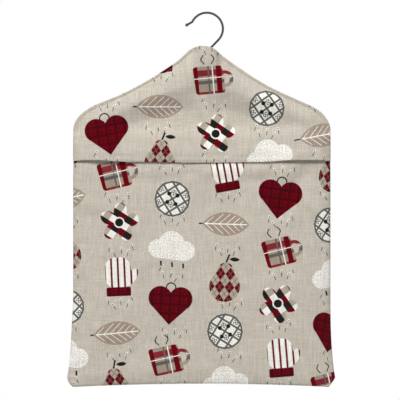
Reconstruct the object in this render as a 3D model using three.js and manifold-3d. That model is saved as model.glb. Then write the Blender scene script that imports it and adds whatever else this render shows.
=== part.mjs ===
// Peg bag: a printed cloth bag sewn shut round a wooden coat hanger whose steel hook swivels.
// The upper front is a yoke that hangs over the pouch, and its lower edge lifts as a flap to open the mouth.
// Millimetres, +Z up, the front towards -Y. The origin is the saddle of the hook, where it hangs on a rail.

import * as THREE from "three";
import { mergeVertices } from "three/addons/utils/BufferGeometryUtils.js";
import Module from "manifold-3d";

const wasm = await Module();
wasm.setup();

// Hook: one bent wire, from the riveted end in the hanger up to the ball at its tip (angles in degrees)
const WIRE_DIAMETER = 2.6;
const HOOK_INNER_DIAMETER = 34;
const STEM_LEAN = 44;
const STEM_BEND_RADIUS = 8;
const HOOK_SWEEP = 195;
const TIP_BEND = 32;
const TIP_BEND_RADIUS = 4.5;
const TIP_LENGTH = 5.8;
const TIP_BALL_DIAMETER = 3.7;
const RIVET_DIAMETER = 5;
const RIVET_HEIGHT = 1.6;
const WASHER_DIAMETER = 7;
const WASHER_THICKNESS = 1.2;

// Hanger: a flat wooden bar with a neck in the middle and two sloping arms
const HANGER_THICKNESS = 9;
const HANGER_END_ROOM = 17;
const NECK_HEIGHT = 16;
const ARM_END_HEIGHT = 12;
const ARM_END_ROUND = 9;
const HANGER_EDGE_ROUND = 2.4;
const COUNTERBORE_DEPTH = 7;

// Outline of the bag, from its top point down (angles in degrees below level)
const APEX_OVER_BEND = 6.3;
const BAG_SHIFT = 5;
const BAG_HEIGHT = 388;
const HALF_WIDTH = 147;
const BASE_FLARE = 5.5;
const BASE_RISE = 3.7;
const FLARE_HEIGHT = 98;
const CORNER_CUT_WIDTH = 7.5;
const CORNER_CUT_HEIGHT = 10.5;
const DOME_FLAT = 13;
const DOME_ROUND = 10.6;
const NECK_HALF_WIDTH = 24;
const NECK_DROP = 11.8;
const NECK_SLOPE = 36.5;
const NECK_RUN = 49;
const SHOULDER_SLOPE = 24;
const SHOULDER_CORNER_WIDTH = 27;
const SHOULDER_CORNER_FALL = 17.7;

// Cloth, its fullness front to back, and the mouth
const CLOTH = 1;
const MOUTH_DROP = 131.7;
const MOUTH_OVERLAP = 20;
const HEM_WIDTH = 12;
const FLAP_HEIGHT = 45.7;
const FLAP_HALF_WIDTH = 106;
const MOUTH_FULLNESS = 3.5;
const POUCH_FULLNESS = 1.2;
const BASE_EASE = 4.5;
const BACK_FULLNESS = 3;
const SHOULDER_ROUND = 14;
const HANGER_END_ROUND = 25;
const SIDE_ROUND = 18;
const BASE_ROUND = 16;
const SLIT_DIP = 1.5;
const SLIT_MARGIN = 1.5;
const SLIT_BLEND = 8;

// Seams: the turned-in edges of the cloth, sewn together inside the bag
const SEAM_WIDTH = 5;
const SHOULDER_SEAM_WIDTH = 9;
const SHOULDER_SEAM_INSET = 0.9;
const LENS_SEAM_INSET = 2.5;
const CORNER_SEAM_INSET = 2.8;
const SHOULDER_SEAM_END_GAP = 20;
const SIDE_SEAM_TOP_GAP = 2;
const LENS_SEAM_END_GAP = 10;
const CORNER_SEAM_END_GAP = 3.5;

// How finely the pieces are faceted
const WIRE_STEP = 2.4;
const WIRE_SIDES = 10;
const LINE_POINTS = 40;
const ARM_STEPS = 14;
const ARM_END_STEPS = 4;
const HANGER_EDGE_STEPS = 2;
const PANEL_STEPS = [7, 4, 12, 4, 7];
const POUCH_STEPS = [7, 6, 7];
const HEM_STEPS = [4, 4, 4];
const YOKE_ROW_STEPS = [4, 1, 1];
const BACK_ROW_STEPS = [4, 2, 3];
const POUCH_ROW_STEPS = [2, 5, 3];
const SEAM_STEPS = 12;
const SLOPE_STEP = 1;
const ROUND_TURNS = [0, 22.5, 45, 67.5];

// Clearances
const SEAT_GAP = 0.3;
const WIRE_CLEARANCE = 0.3;
const HANGER_CLEARANCE = 0.6;
const LAYER_GAP = 0.4;
const SEAM_HALF_GAP = 0.54;
const FLAP_GAP = 0.6;
const CUT_OVERRUN = 1;

// Values that follow from the sizes above
const { clamp, lerp, smoothstep, degToRad: radians } = THREE.MathUtils;
const wireRadius = WIRE_DIAMETER / 2;
const hookRadius = HOOK_INNER_DIAMETER / 2 + wireRadius;
const hookCentreZ = -HOOK_INNER_DIAMETER / 2;
const lean = radians(STEM_LEAN);
const bendZ = hookCentreZ - hookRadius / Math.sin(lean);
const bendTangent = STEM_BEND_RADIUS * Math.tan(lean / 2);
const hangerTopZ = bendZ - bendTangent - SEAT_GAP;
const hangerNeckZ = hangerTopZ - NECK_HEIGHT;
const washerTopZ = hangerNeckZ + COUNTERBORE_DEPTH - SEAT_GAP;
const rivetTopZ = washerTopZ - WASHER_THICKNESS - SEAT_GAP;
const boreRadius = wireRadius + WIRE_CLEARANCE;
const bagTopZ = bendZ + APEX_OVER_BEND;
const wireSweep = (APEX_OVER_BEND - SLIT_DIP) * Math.tan(lean) + wireRadius / Math.cos(lean);
const slitDepth = wireSweep + SEAT_GAP + CLOTH / 2 - SEAM_HALF_GAP;
const slitHalfWidth = wireSweep + SLIT_MARGIN;
const hangerDepth = HANGER_THICKNESS / 2 + HANGER_CLEARANCE + CLOTH / 2 - SEAM_HALF_GAP;
const pouchDepth = hangerDepth + MOUTH_FULLNESS + POUCH_FULLNESS;
const layerPitch = CLOTH + LAYER_GAP;
const lipDrop = MOUTH_DROP - MOUTH_OVERLAP;
const flapTopDrop = MOUTH_DROP - FLAP_HEIGHT;
const flareDrop = BAG_HEIGHT - FLARE_HEIGHT;
const cutDrop = BAG_HEIGHT - CORNER_CUT_HEIGHT;
const hangerHalfLength = HALF_WIDTH - BAG_SHIFT - HANGER_END_ROOM;
const baseHalfWidth = HALF_WIDTH + BASE_FLARE;
const cutX = baseHalfWidth - CORNER_CUT_WIDTH;
const flatHalfWidth = HALF_WIDTH - SIDE_ROUND;

// Finishes
const printedCloth = { color: 0xc8beb2, roughness: 0.92, metalness: 0 };
const clothReverse = { color: 0xd2c9bd, roughness: 0.95, metalness: 0 };
const steel = { color: 0x6c6b68, roughness: 0.32, metalness: 1 };
const wood = { color: 0xc7a678, roughness: 0.6, metalness: 0 };

// Values from the first stop to the last, with a number of even steps between each two stops
function spread(stops, steps) {
  const values = [stops[0]];
  steps.forEach((count, stretch) => {
    for (let step = 1; step <= count; step += 1) {
      values.push(lerp(stops[stretch], stops[stretch + 1], step / count));
    }
  });
  return values;
}

// Solids

function toSolid(geometry) {
  const bare = geometry.clone();
  bare.deleteAttribute("normal");
  bare.deleteAttribute("uv");
  const merged = mergeVertices(bare);
  return new wasm.Manifold(new wasm.Mesh({
    numProp: 3,
    vertProperties: new Float32Array(merged.attributes.position.array),
    triVerts: new Uint32Array(merged.index.array),
  }));
}

function toGeometry(solid) {
  const mesh = solid.getMesh();
  const geometry = new THREE.BufferGeometry();
  geometry.setAttribute("position", new THREE.BufferAttribute(new Float32Array(mesh.vertProperties), 3));
  geometry.setIndex(new THREE.BufferAttribute(new Uint32Array(mesh.triVerts), 1));
  geometry.computeVertexNormals();
  return geometry;
}

function piece(name, geometry, finish) {
  const mesh = new THREE.Mesh(geometry, new THREE.MeshStandardMaterial(finish));
  mesh.name = name;
  return mesh;
}

function uprightCylinder(radius, lowZ, highZ, sides) {
  const geometry = new THREE.CylinderGeometry(radius, radius, highZ - lowZ, sides);
  geometry.rotateX(Math.PI / 2);
  geometry.translate(0, 0, (lowZ + highZ) / 2);
  return geometry;
}

// Stands up a geometry extruded along +Z from an outline of x and height, with its middle in the X-Z plane
function standUp(geometry, thickness) {
  geometry.translate(0, 0, -thickness / 2);
  geometry.rotateX(Math.PI / 2);
  return geometry;
}

// Hook

// Walks along the wire in the X-Z plane: a stretch is straight, or turns left by its angle on its radius
function wirePoints(start, heading, stretches) {
  const points = [start.clone()];
  let place = start.clone();
  let angle = radians(heading);
  for (const { length = 0, radius = 0, turn = 0 } of stretches) {
    const travel = radius > 0 ? radius * radians(Math.abs(turn)) : length;
    const steps = Math.max(2, Math.ceil(travel / WIRE_STEP));
    for (let step = 0; step < steps; step += 1) {
      const half = radians(turn) / steps / 2;
      angle += half;
      const way = new THREE.Vector3(Math.cos(angle), 0, Math.sin(angle));
      place = place.clone().addScaledVector(way, travel / steps);
      angle += half;
      points.push(place);
    }
  }
  return points;
}

function buildHook() {
  const start = new THREE.Vector3(0, 0, rivetTopZ - RIVET_HEIGHT / 2);
  const points = wirePoints(start, 90, [
    { length: bendZ - bendTangent - start.z },
    { radius: STEM_BEND_RADIUS, turn: -STEM_LEAN },
    { length: hookRadius / Math.tan(lean) - bendTangent },
    { radius: hookRadius, turn: HOOK_SWEEP },
    { radius: TIP_BEND_RADIUS, turn: -TIP_BEND },
    { length: TIP_LENGTH },
  ]);
  const section = new THREE.Shape().absarc(0, 0, wireRadius, 0, 2 * Math.PI);
  const wire = new THREE.ExtrudeGeometry(section, {
    extrudePath: new THREE.CatmullRomCurve3(points, false, "centripetal"),
    steps: points.length - 1,
    curveSegments: WIRE_SIDES / 2,
  });
  const tip = points[points.length - 1];
  const ball = new THREE.SphereGeometry(TIP_BALL_DIAMETER / 2, WIRE_SIDES, WIRE_SIDES / 2);
  ball.translate(tip.x, tip.y, tip.z);
  const rivet = uprightCylinder(RIVET_DIAMETER / 2, rivetTopZ - RIVET_HEIGHT, rivetTopZ, 2 * WIRE_SIDES);
  return piece("hook", toGeometry(toSolid(wire).add(toSolid(ball)).add(toSolid(rivet))), steel);
}

function buildWasher() {
  const low = washerTopZ - WASHER_THICKNESS;
  const profile = [[boreRadius, low], [WASHER_DIAMETER / 2, low], [WASHER_DIAMETER / 2, washerTopZ],
    [boreRadius, washerTopZ], [boreRadius, low]].map(([radius, height]) => new THREE.Vector2(radius, height));
  const ring = new THREE.LatheGeometry(profile, 2 * WIRE_SIDES);
  ring.rotateX(Math.PI / 2);
  return piece("hook_washer", ring, steel);
}

// Outline of the bag: x from the bag's middle line, drop below its top point, for the right half

const neckRun = new THREE.Vector2(Math.cos(radians(NECK_SLOPE)), Math.sin(radians(NECK_SLOPE)));
const neck = new THREE.Vector2(NECK_HALF_WIDTH, NECK_DROP);
const domeSide = neck.clone().addScaledVector(neckRun, -DOME_ROUND);
const armBend = neck.clone().addScaledVector(neckRun, NECK_RUN);
const armFall = Math.tan(radians(SHOULDER_SLOPE));
const cornerX = HALF_WIDTH - SHOULDER_CORNER_WIDTH;
const cornerDrop = armBend.y + (cornerX - armBend.x) * armFall;
const cornerPull = cornerDrop + SHOULDER_CORNER_WIDTH * armFall;
const sideDrop = cornerPull + SHOULDER_CORNER_FALL;

const shoulderLine = new THREE.Path()
  .moveTo(0, 0)
  .bezierCurveTo(DOME_FLAT, 0, domeSide.x, domeSide.y, neck.x, neck.y)
  .quadraticCurveTo(armBend.x, armBend.y, cornerX, cornerDrop)
  .quadraticCurveTo(HALF_WIDTH, cornerPull, HALF_WIDTH, sideDrop);
const sideLine = new THREE.Path()
  .moveTo(HALF_WIDTH, sideDrop)
  .lineTo(HALF_WIDTH, flareDrop)
  .quadraticCurveTo(HALF_WIDTH, (flareDrop + 2 * cutDrop) / 3, baseHalfWidth, cutDrop);
const cutLine = new THREE.Path()
  .moveTo(baseHalfWidth, cutDrop)
  .lineTo(cutX, BAG_HEIGHT);
const baseLine = new THREE.Path()
  .moveTo(cutX, BAG_HEIGHT)
  .quadraticCurveTo(cutX / 2, BAG_HEIGHT - BASE_RISE, 0, BAG_HEIGHT - BASE_RISE);

// Reads one coordinate of a line at a value of the other, between closely spaced points of it
function readLine(line, from, to) {
  const points = line.getPoints(LINE_POINTS).sort((a, b) => a[from] - b[from]);
  return (value) => {
    const next = points.findIndex((point) => point[from] >= value);
    if (next === 0) return points[0][to];
    if (next < 0) return points[points.length - 1][to];
    const [low, high] = [points[next - 1], points[next]];
    const span = high[from] - low[from];
    return span > 0 ? low[to] + (high[to] - low[to]) * (value - low[from]) / span : high[to];
  };
}

const shoulderDrop = readLine(shoulderLine, "x", "y");
const sideWidth = readLine(sideLine, "y", "x");
const cutBaseDrop = readLine(cutLine, "x", "y");
const middleBaseDrop = readLine(baseLine, "x", "y");
const baseDrop = (x) => (Math.abs(x) > cutX ? cutBaseDrop(Math.abs(x)) : middleBaseDrop(Math.abs(x)));

// The slit at the top, centred on the hook's stem, where the two panels aren't sewn together
const slitShare = (x) => 1 - smoothstep(Math.abs(x - BAG_SHIFT), slitHalfWidth, slitHalfWidth + SLIT_BLEND);
const topDrop = (x) => shoulderDrop(Math.abs(x)) + SLIT_DIP * slitShare(x);

// Hanger

function buildHanger() {
  const rest = SHOULDER_SEAM_INSET + SHOULDER_SEAM_WIDTH + HANGER_CLEARANCE;
  const top = (reach) => {
    const x = reach + BAG_SHIFT;
    const fall = (shoulderDrop(x + SLOPE_STEP) - shoulderDrop(x)) / SLOPE_STEP;
    return Math.min(hangerTopZ, bagTopZ - shoulderDrop(x) - rest * Math.hypot(1, fall));
  };
  const height = (reach) => lerp(NECK_HEIGHT, ARM_END_HEIGHT, reach / hangerHalfLength);
  const bottom = (reach) => top(reach) - height(reach);
  const outline = new THREE.Shape();
  const straight = hangerHalfLength - ARM_END_ROUND;
  const way = new THREE.Vector2(SLOPE_STEP, top(straight) - top(straight - SLOPE_STEP)).normalize();
  const square = straight + height(straight) * way.x * way.y;
  const upper = new THREE.Vector2(straight, top(straight)).addScaledVector(way, ARM_END_ROUND);
  const lower = new THREE.Vector2(square, bottom(square)).addScaledVector(way, ARM_END_ROUND);
  const tip = upper.clone().lerp(lower, 0.5);
  const above = spread([0, straight], [ARM_STEPS]);
  const below = spread([0, square], [ARM_STEPS]);
  outline.moveTo(-straight, top(straight));
  above.slice(0, -1).reverse().forEach((reach) => outline.lineTo(-reach, top(reach)));
  above.slice(1).forEach((reach) => outline.lineTo(reach, top(reach)));
  outline.quadraticCurveTo(upper.x, upper.y, tip.x, tip.y);
  outline.quadraticCurveTo(lower.x, lower.y, square, bottom(square));
  below.slice(0, -1).reverse().forEach((reach) => outline.lineTo(reach, bottom(reach)));
  below.slice(1).forEach((reach) => outline.lineTo(-reach, bottom(reach)));
  outline.quadraticCurveTo(-lower.x, lower.y, -tip.x, tip.y);
  outline.quadraticCurveTo(-upper.x, upper.y, -straight, top(straight));
  const depth = HANGER_THICKNESS - 2 * HANGER_EDGE_ROUND;
  const bar = new THREE.ExtrudeGeometry(outline, {
    depth,
    curveSegments: ARM_END_STEPS,
    bevelThickness: HANGER_EDGE_ROUND,
    bevelSize: HANGER_EDGE_ROUND,
    bevelOffset: -HANGER_EDGE_ROUND,
    bevelSegments: HANGER_EDGE_STEPS,
  });
  const bore = uprightCylinder(boreRadius, hangerNeckZ - CUT_OVERRUN, hangerTopZ + CUT_OVERRUN, WIRE_SIDES);
  const counterbore = uprightCylinder(WASHER_DIAMETER / 2 + SEAT_GAP, hangerNeckZ - CUT_OVERRUN,
    hangerNeckZ + COUNTERBORE_DEPTH, 2 * WIRE_SIDES);
  const solid = toSolid(standUp(bar, depth)).subtract(toSolid(bore)).subtract(toSolid(counterbore));
  return piece("coat_hanger", toGeometry(solid), wood);
}

// Cloth

// The share of its full depth that the cloth has at a distance in from a sewn edge, like a lens or a pipe
const lensShare = (distance, round) => 1 - (1 - clamp(distance / round, 0, 1)) ** 2;
const pipeShare = (distance, round) => Math.sqrt(lensShare(distance, round));

function edgeShare(x, drop) {
  const inFromSide = sideWidth(drop) - Math.abs(x);
  const lens = smoothstep(drop, sideDrop, sideDrop + SIDE_ROUND);
  const side = lerp(pipeShare(inFromSide, HANGER_END_ROUND), lensShare(inFromSide, SIDE_ROUND), lens);
  const top = lerp(pipeShare(drop - topDrop(x), SHOULDER_ROUND), 1, slitShare(x));
  return side * top * lensShare(baseDrop(x) - drop, BASE_ROUND);
}

// The slit's cloth stands further out than the hanger needs, so that the wire can turn in it
const slitExtra = (x, drop) => (slitDepth - hangerDepth) * slitShare(x)
  * (1 - smoothstep(drop, NECK_DROP, 2 * NECK_DROP));

function frontDepth(x, drop) {
  const mouth = smoothstep(drop, NECK_DROP, lipDrop);
  const belly = smoothstep(drop, MOUTH_DROP, (MOUTH_DROP + BAG_HEIGHT) / 2);
  const eased = BASE_EASE * smoothstep(drop, flareDrop - SIDE_ROUND, BAG_HEIGHT);
  return hangerDepth + MOUTH_FULLNESS * mouth + POUCH_FULLNESS * belly - eased + slitExtra(x, drop);
}

function backPanelDepth(x, drop) {
  return hangerDepth + BACK_FULLNESS * smoothstep(drop, NECK_DROP, lipDrop) + slitExtra(x, drop);
}

// Layers count outwards from the pouch, whose lip is tucked behind the yoke
function frontPoint(x, drop, layer) {
  const depth = SEAM_HALF_GAP + layer * layerPitch + frontDepth(x, drop) * edgeShare(x, drop);
  return new THREE.Vector3(x, -depth, -drop);
}

function yokePoint(x, drop) {
  return frontPoint(x, drop, 2 * smoothstep(drop, sideDrop, lipDrop - CLOTH));
}

function backPoint(x, drop) {
  return new THREE.Vector3(-x, SEAM_HALF_GAP + backPanelDepth(-x, drop) * edgeShare(-x, drop), -drop);
}

// A closed sheet of cloth round a grid of points on its middle surface, numbered along columns and rows
function clothGeometry(grid) {
  const [columns, rows] = [grid.length, grid[0].length];
  const number = (column, row) => column * rows + row;
  const outer = [];
  const inner = [];
  grid.forEach((line, column) => line.forEach((point, row) => {
    const [before, after] = [grid[Math.max(column - 1, 0)], grid[Math.min(column + 1, columns - 1)]];
    const across = after[row].clone().sub(before[row]);
    const down = line[Math.min(row + 1, rows - 1)].clone().sub(line[Math.max(row - 1, 0)]);
    const normal = down.cross(across).normalize();
    outer.push(point.clone().addScaledVector(normal, CLOTH / 2));
    inner.push(point.clone().addScaledVector(normal, -CLOTH / 2));
  }));
  const count = outer.length;
  const index = [];
  for (let column = 0; column + 1 < columns; column += 1) {
    for (let row = 0; row + 1 < rows; row += 1) {
      const a = number(column, row);
      const b = number(column, row + 1);
      const c = number(column + 1, row + 1);
      const d = number(column + 1, row);
      index.push(a, b, c, a, c, d);
      index.push(count + a, count + c, count + b, count + a, count + d, count + c);
    }
  }
  const rim = [];
  for (let row = 0; row + 1 < rows; row += 1) rim.push(number(0, row));
  for (let column = 0; column + 1 < columns; column += 1) rim.push(number(column, rows - 1));
  for (let row = rows - 1; row > 0; row -= 1) rim.push(number(columns - 1, row));
  for (let column = columns - 1; column > 0; column -= 1) rim.push(number(column, 0));
  rim.forEach((from, place) => {
    const to = rim[(place + 1) % rim.length];
    index.push(to, from, count + from, to, count + from, count + to);
  });
  const geometry = new THREE.BufferGeometry();
  geometry.setFromPoints([...outer, ...inner]);
  geometry.setIndex(index);
  geometry.computeVertexNormals();
  return geometry;
}

// Distances in from a sewn edge that follow its round in even turns
const roundSteps = (round) => ROUND_TURNS.map((turn) => round * (1 - Math.cos(radians(turn))));

const halfStops = [NECK_HALF_WIDTH, flatHalfWidth, HALF_WIDTH];
const panelStops = [...halfStops.map((x) => -x).reverse(), ...halfStops];
const panelShares = spread(panelStops, PANEL_STEPS).map((x) => x / HALF_WIDTH);
const pouchShares = spread([-HALF_WIDTH, -flatHalfWidth, flatHalfWidth, HALF_WIDTH], POUCH_STEPS)
  .map((x) => x / HALF_WIDTH);

// One column of a panel, from its top edge to its lower edge; a share of 1 is the sewn side
function panelColumn(share, drops, place) {
  return drops.map((drop) => place(share * sideWidth(drop), drop));
}

function yokeGrid() {
  return panelShares.map((share) => {
    const top = topDrop(share * HALF_WIDTH);
    const stops = [top + SHOULDER_ROUND, sideDrop + SHOULDER_ROUND, lipDrop, MOUTH_DROP];
    const below = spread(stops, YOKE_ROW_STEPS);
    return panelColumn(share, [...roundSteps(SHOULDER_ROUND).map((step) => top + step), ...below], yokePoint);
  });
}

function backGrid() {
  return panelShares.map((share) => {
    const top = topDrop(-share * HALF_WIDTH);
    const base = baseDrop(share * baseHalfWidth);
    const stops = [top + SHOULDER_ROUND, lipDrop + SHOULDER_ROUND, flareDrop, base - BASE_ROUND];
    const drops = [...roundSteps(SHOULDER_ROUND).map((step) => top + step), ...spread(stops, BACK_ROW_STEPS),
      ...roundSteps(BASE_ROUND).map((step) => base - step).reverse()];
    return panelColumn(share, drops, backPoint);
  });
}

function pouchGrid() {
  return pouchShares.map((share) => {
    const base = baseDrop(share * baseHalfWidth);
    const between = spread([lipDrop, MOUTH_DROP, flareDrop, base - BASE_ROUND], POUCH_ROW_STEPS);
    const drops = [...between, ...roundSteps(BASE_ROUND).map((step) => base - step).reverse()];
    return panelColumn(share, drops, (x, drop) => frontPoint(x, drop, 0));
  });
}

// A hem is a strip of cloth turned in behind an edge
function hemGrid(halfWidth, drops, layer) {
  const flat = Math.min(halfWidth, flatHalfWidth) - CLOTH;
  return spread([-halfWidth, -flat, flat, halfWidth], HEM_STEPS)
    .map((x) => drops.map((drop) => frontPoint(x, drop, layer)));
}

function buildYoke() {
  const whole = toSolid(clothGeometry(yokeGrid()));
  const flapBox = (gap) => {
    const height = FLAP_HEIGHT + HEM_WIDTH;
    const box = new THREE.BoxGeometry(2 * (FLAP_HALF_WIDTH + gap), 4 * pouchDepth, height + gap);
    box.translate(0, 0, -flapTopDrop + gap - (height + gap) / 2);
    return toSolid(box);
  };
  const hemDrops = [MOUTH_DROP - HEM_WIDTH, MOUTH_DROP - CLOTH / 2];
  return [
    piece("yoke", toGeometry(whole.subtract(flapBox(FLAP_GAP))), printedCloth),
    piece("yoke_flap", toGeometry(whole.intersect(flapBox(0))), printedCloth),
    piece("yoke_hem", clothGeometry(hemGrid(FLAP_HALF_WIDTH - CLOTH, hemDrops, 1)), clothReverse),
  ];
}

function buildPouch() {
  const hemDrops = [lipDrop + CLOTH / 2, lipDrop + HEM_WIDTH];
  const hemHalfWidth = HALF_WIDTH - LENS_SEAM_INSET - 2 * SEAM_WIDTH;
  return [
    piece("pouch_front", clothGeometry(pouchGrid()), printedCloth),
    piece("pouch_hem", clothGeometry(hemGrid(hemHalfWidth, hemDrops, -1)), clothReverse),
  ];
}

// Seams

// A flat band inside the bag, along points of the outline, reaching inwards by the width of the seam
function seam(name, points, inset, width) {
  const outer = points.map(({ point, inward }) => point.clone().addScaledVector(inward, inset));
  const inner = points.map(({ point, inward }) => point.clone().addScaledVector(inward, inset + width));
  const outline = new THREE.Shape([...outer, ...inner.reverse()].map(({ x, y }) => new THREE.Vector2(x, -y)));
  const band = new THREE.ExtrudeGeometry(outline, { depth: CLOTH, bevelEnabled: false });
  return piece(name, standUp(band, CLOTH), clothReverse);
}

// Points along a line of the outline, with the way in, leaving out a length at its start and at its end
function alongLine(line, startGap, endGap, count) {
  const length = line.getLength();
  return spread([startGap / length, 1 - endGap / length], [count]).map((share) => {
    const way = line.getTangentAt(share);
    return { point: line.getPointAt(share), inward: new THREE.Vector2(-way.y, way.x) };
  });
}

const mirrored = (points) => points.map(({ point, inward }) => (
  { point: new THREE.Vector2(-point.x, point.y), inward: new THREE.Vector2(-inward.x, inward.y) }));

function buildSeams() {
  const slitEnd = slitHalfWidth + SLIT_BLEND;
  const rightShoulder = alongLine(shoulderLine, slitEnd + BAG_SHIFT, SHOULDER_SEAM_END_GAP, SEAM_STEPS);
  const leftShoulder = mirrored(
    alongLine(shoulderLine, slitEnd - BAG_SHIFT, SHOULDER_SEAM_END_GAP, SEAM_STEPS));
  const side = alongLine(sideLine, SIDE_SEAM_TOP_GAP, LENS_SEAM_END_GAP, SEAM_STEPS);
  const corner = alongLine(cutLine, CORNER_SEAM_END_GAP, CORNER_SEAM_END_GAP, 1);
  const base = alongLine(baseLine, LENS_SEAM_END_GAP, 0, SEAM_STEPS / 2);
  const wholeBase = [...base, ...mirrored(base).reverse().slice(1)];
  return [
    seam("left_shoulder_seam", leftShoulder, SHOULDER_SEAM_INSET, SHOULDER_SEAM_WIDTH),
    seam("right_shoulder_seam", rightShoulder, SHOULDER_SEAM_INSET, SHOULDER_SEAM_WIDTH),
    seam("left_side_seam", mirrored(side), LENS_SEAM_INSET, SEAM_WIDTH),
    seam("right_side_seam", side, LENS_SEAM_INSET, SEAM_WIDTH),
    seam("left_corner_seam", mirrored(corner), CORNER_SEAM_INSET, SEAM_WIDTH),
    seam("right_corner_seam", corner, CORNER_SEAM_INSET, SEAM_WIDTH),
    seam("base_seam", wholeBase, LENS_SEAM_INSET, SEAM_WIDTH),
  ];
}

// Assembly

const bag = new THREE.Group();
bag.position.set(-BAG_SHIFT, 0, bagTopZ);
bag.add(piece("back_panel", clothGeometry(backGrid()), printedCloth));
bag.add(...buildYoke(), ...buildPouch(), ...buildSeams());

const pegBag = new THREE.Group();
pegBag.add(buildHook(), buildWasher(), buildHanger(), bag);

export default pegBag;
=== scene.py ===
"""Peg bag: a printed cloth bag sewn round a wooden coat hanger with a swivelling steel hook.

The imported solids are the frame. This script hangs the real cloth, thread, wire and wood on them, in
metres, with +Z up and the front of the bag towards -Y. Places on the bag are given as x from its middle
line and drop below its top point. A pair called a reach tells where something starts and ends.
"""

import logging
import math
from collections.abc import Callable, Sequence
from dataclasses import dataclass, field
from enum import Enum
from functools import cached_property, reduce

import bpy
import numpy as np
from bpy.types import Material, NodeSocket, NodeTree, Object
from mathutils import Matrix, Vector


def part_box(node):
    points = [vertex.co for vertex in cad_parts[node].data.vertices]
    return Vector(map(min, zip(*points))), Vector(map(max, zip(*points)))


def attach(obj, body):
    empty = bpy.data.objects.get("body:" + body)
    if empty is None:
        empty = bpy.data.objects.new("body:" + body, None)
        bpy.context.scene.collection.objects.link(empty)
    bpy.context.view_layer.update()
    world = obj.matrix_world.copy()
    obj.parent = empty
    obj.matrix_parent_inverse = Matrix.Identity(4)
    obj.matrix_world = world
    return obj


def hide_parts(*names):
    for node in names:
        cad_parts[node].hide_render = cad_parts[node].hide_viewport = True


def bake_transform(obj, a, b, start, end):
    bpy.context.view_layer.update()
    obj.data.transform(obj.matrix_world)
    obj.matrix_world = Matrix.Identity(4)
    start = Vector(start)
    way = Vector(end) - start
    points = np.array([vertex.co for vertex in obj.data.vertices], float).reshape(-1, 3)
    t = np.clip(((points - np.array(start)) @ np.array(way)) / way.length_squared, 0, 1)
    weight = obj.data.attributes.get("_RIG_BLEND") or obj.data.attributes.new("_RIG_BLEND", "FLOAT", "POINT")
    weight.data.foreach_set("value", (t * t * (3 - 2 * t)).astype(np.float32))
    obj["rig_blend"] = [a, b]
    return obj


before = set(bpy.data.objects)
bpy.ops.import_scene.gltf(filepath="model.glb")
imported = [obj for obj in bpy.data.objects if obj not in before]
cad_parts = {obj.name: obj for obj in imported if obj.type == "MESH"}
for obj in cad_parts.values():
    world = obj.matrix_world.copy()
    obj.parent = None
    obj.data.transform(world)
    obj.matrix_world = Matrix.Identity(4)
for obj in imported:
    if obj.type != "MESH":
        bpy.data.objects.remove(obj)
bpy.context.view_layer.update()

LOG = logging.getLogger("peg_bag")
CUT_MAP = "cut"
MILLIMETRES = 1000.0
FULL_TURN = 2.0 * math.pi
TINY = 1e-9
WHITE = (1.0, 1.0, 1.0, 1.0)
MIRROR = np.array([-1.0, 1.0])

Array = np.ndarray
Number = Array | float
Pair = tuple[float, float]
Colour = tuple[float, ...]
Faces = list[list[int]]
Depth = Callable[[Array, Array], Array]


def smooth(value: Number, low: Number, high: Number) -> Array:
    """Rise from 0 at low to 1 at high with level ends."""
    share = np.clip((np.asarray(value, float) - low) / (high - low), 0.0, 1.0)
    return share * share * (3.0 - 2.0 * share)


def slope(value: Number, low: Number, high: Number) -> Array:
    """Rise from 0 at low to 1 at high, half evenly and half with level ends."""
    even = np.clip((np.asarray(value, float) - low) / (high - low), 0.0, 1.0)
    return (even + smooth(value, low, high)) / 2.0


def bump(value: Number, width: float) -> Array:
    """Rise to 1 at 0 and fall off softly on both sides."""
    return np.exp(-((value / width) ** 2))


def mix(first: Number, second: Number, share: Number) -> Array:
    """Go from first to second as share goes from 0 to 1."""
    return first + (second - first) * share


def lens(distance: Array, round_off: Number) -> Array:
    """Give the share of full depth at a distance in from an edge that is sewn flat, like a lens."""
    return 1.0 - (1.0 - np.clip(distance / round_off, 0.0, 1.0)) ** 2


def pipe(distance: Array, round_off: Number) -> Array:
    """Give the share of full depth at a distance in from an edge that bends round a bar, like a pipe."""
    return np.sqrt(lens(distance, round_off))


def curve(points: Sequence[Sequence[float]], count: int = 60) -> Array:
    """Sample a Bezier curve of any degree.

    Args:
        points: The control points.
        count: How many points to sample.

    Returns:
        The sampled points, one to a row.
    """
    place = np.linspace(0.0, 1.0, count)[:, None]
    stage = [np.asarray(point, float)[None, :] for point in points]
    while len(stage) > 1:
        stage = [mix(first, second, place) for first, second in zip(stage, stage[1:])]
    return stage[0]


def distance_to_line(x: Array, drop: Array, line: Array) -> Array:
    """Measure how far points of the bag lie from a line on it.

    Args:
        x: Places across.
        drop: Places down, of the same shape.
        line: The line's points, one to a row.

    Returns:
        The least distance of each point, of the same shape.
    """
    spots = np.stack([np.ravel(x), np.ravel(drop)], axis=-1)
    least = np.full(len(spots), np.inf)
    for begin, step in zip(line[:-1], np.diff(line, axis=0)):
        share = np.clip((spots - begin) @ step / max(float(step @ step), TINY ** 2), 0.0, 1.0)
        least = np.minimum(least, np.linalg.norm(spots - begin - share[:, None] * step, axis=1))
    return least.reshape(np.shape(x))


def run_along(line: Array) -> Array:
    """Measure how far along a line each of its points lies."""
    return np.concatenate([[0.0], np.cumsum(np.linalg.norm(np.diff(line, axis=0), axis=1))])


def read_along(at: Array, run: Array, values: Array) -> Array:
    """Read rows of values that are known at runs along a line, at other runs along it."""
    return np.stack([np.interp(at, run, column) for column in values.T], axis=-1)


def unit(ways: Array) -> Array:
    """Give directions the length 1."""
    return ways / np.linalg.norm(ways, axis=-1, keepdims=True)


def inward_ways(line: Array) -> Array:
    """Give the way into the bag at each point of a line along the right half of its outline."""
    way = unit(np.gradient(line, axis=0))
    return np.stack([-way[:, 1], way[:, 0]], axis=1)


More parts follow.
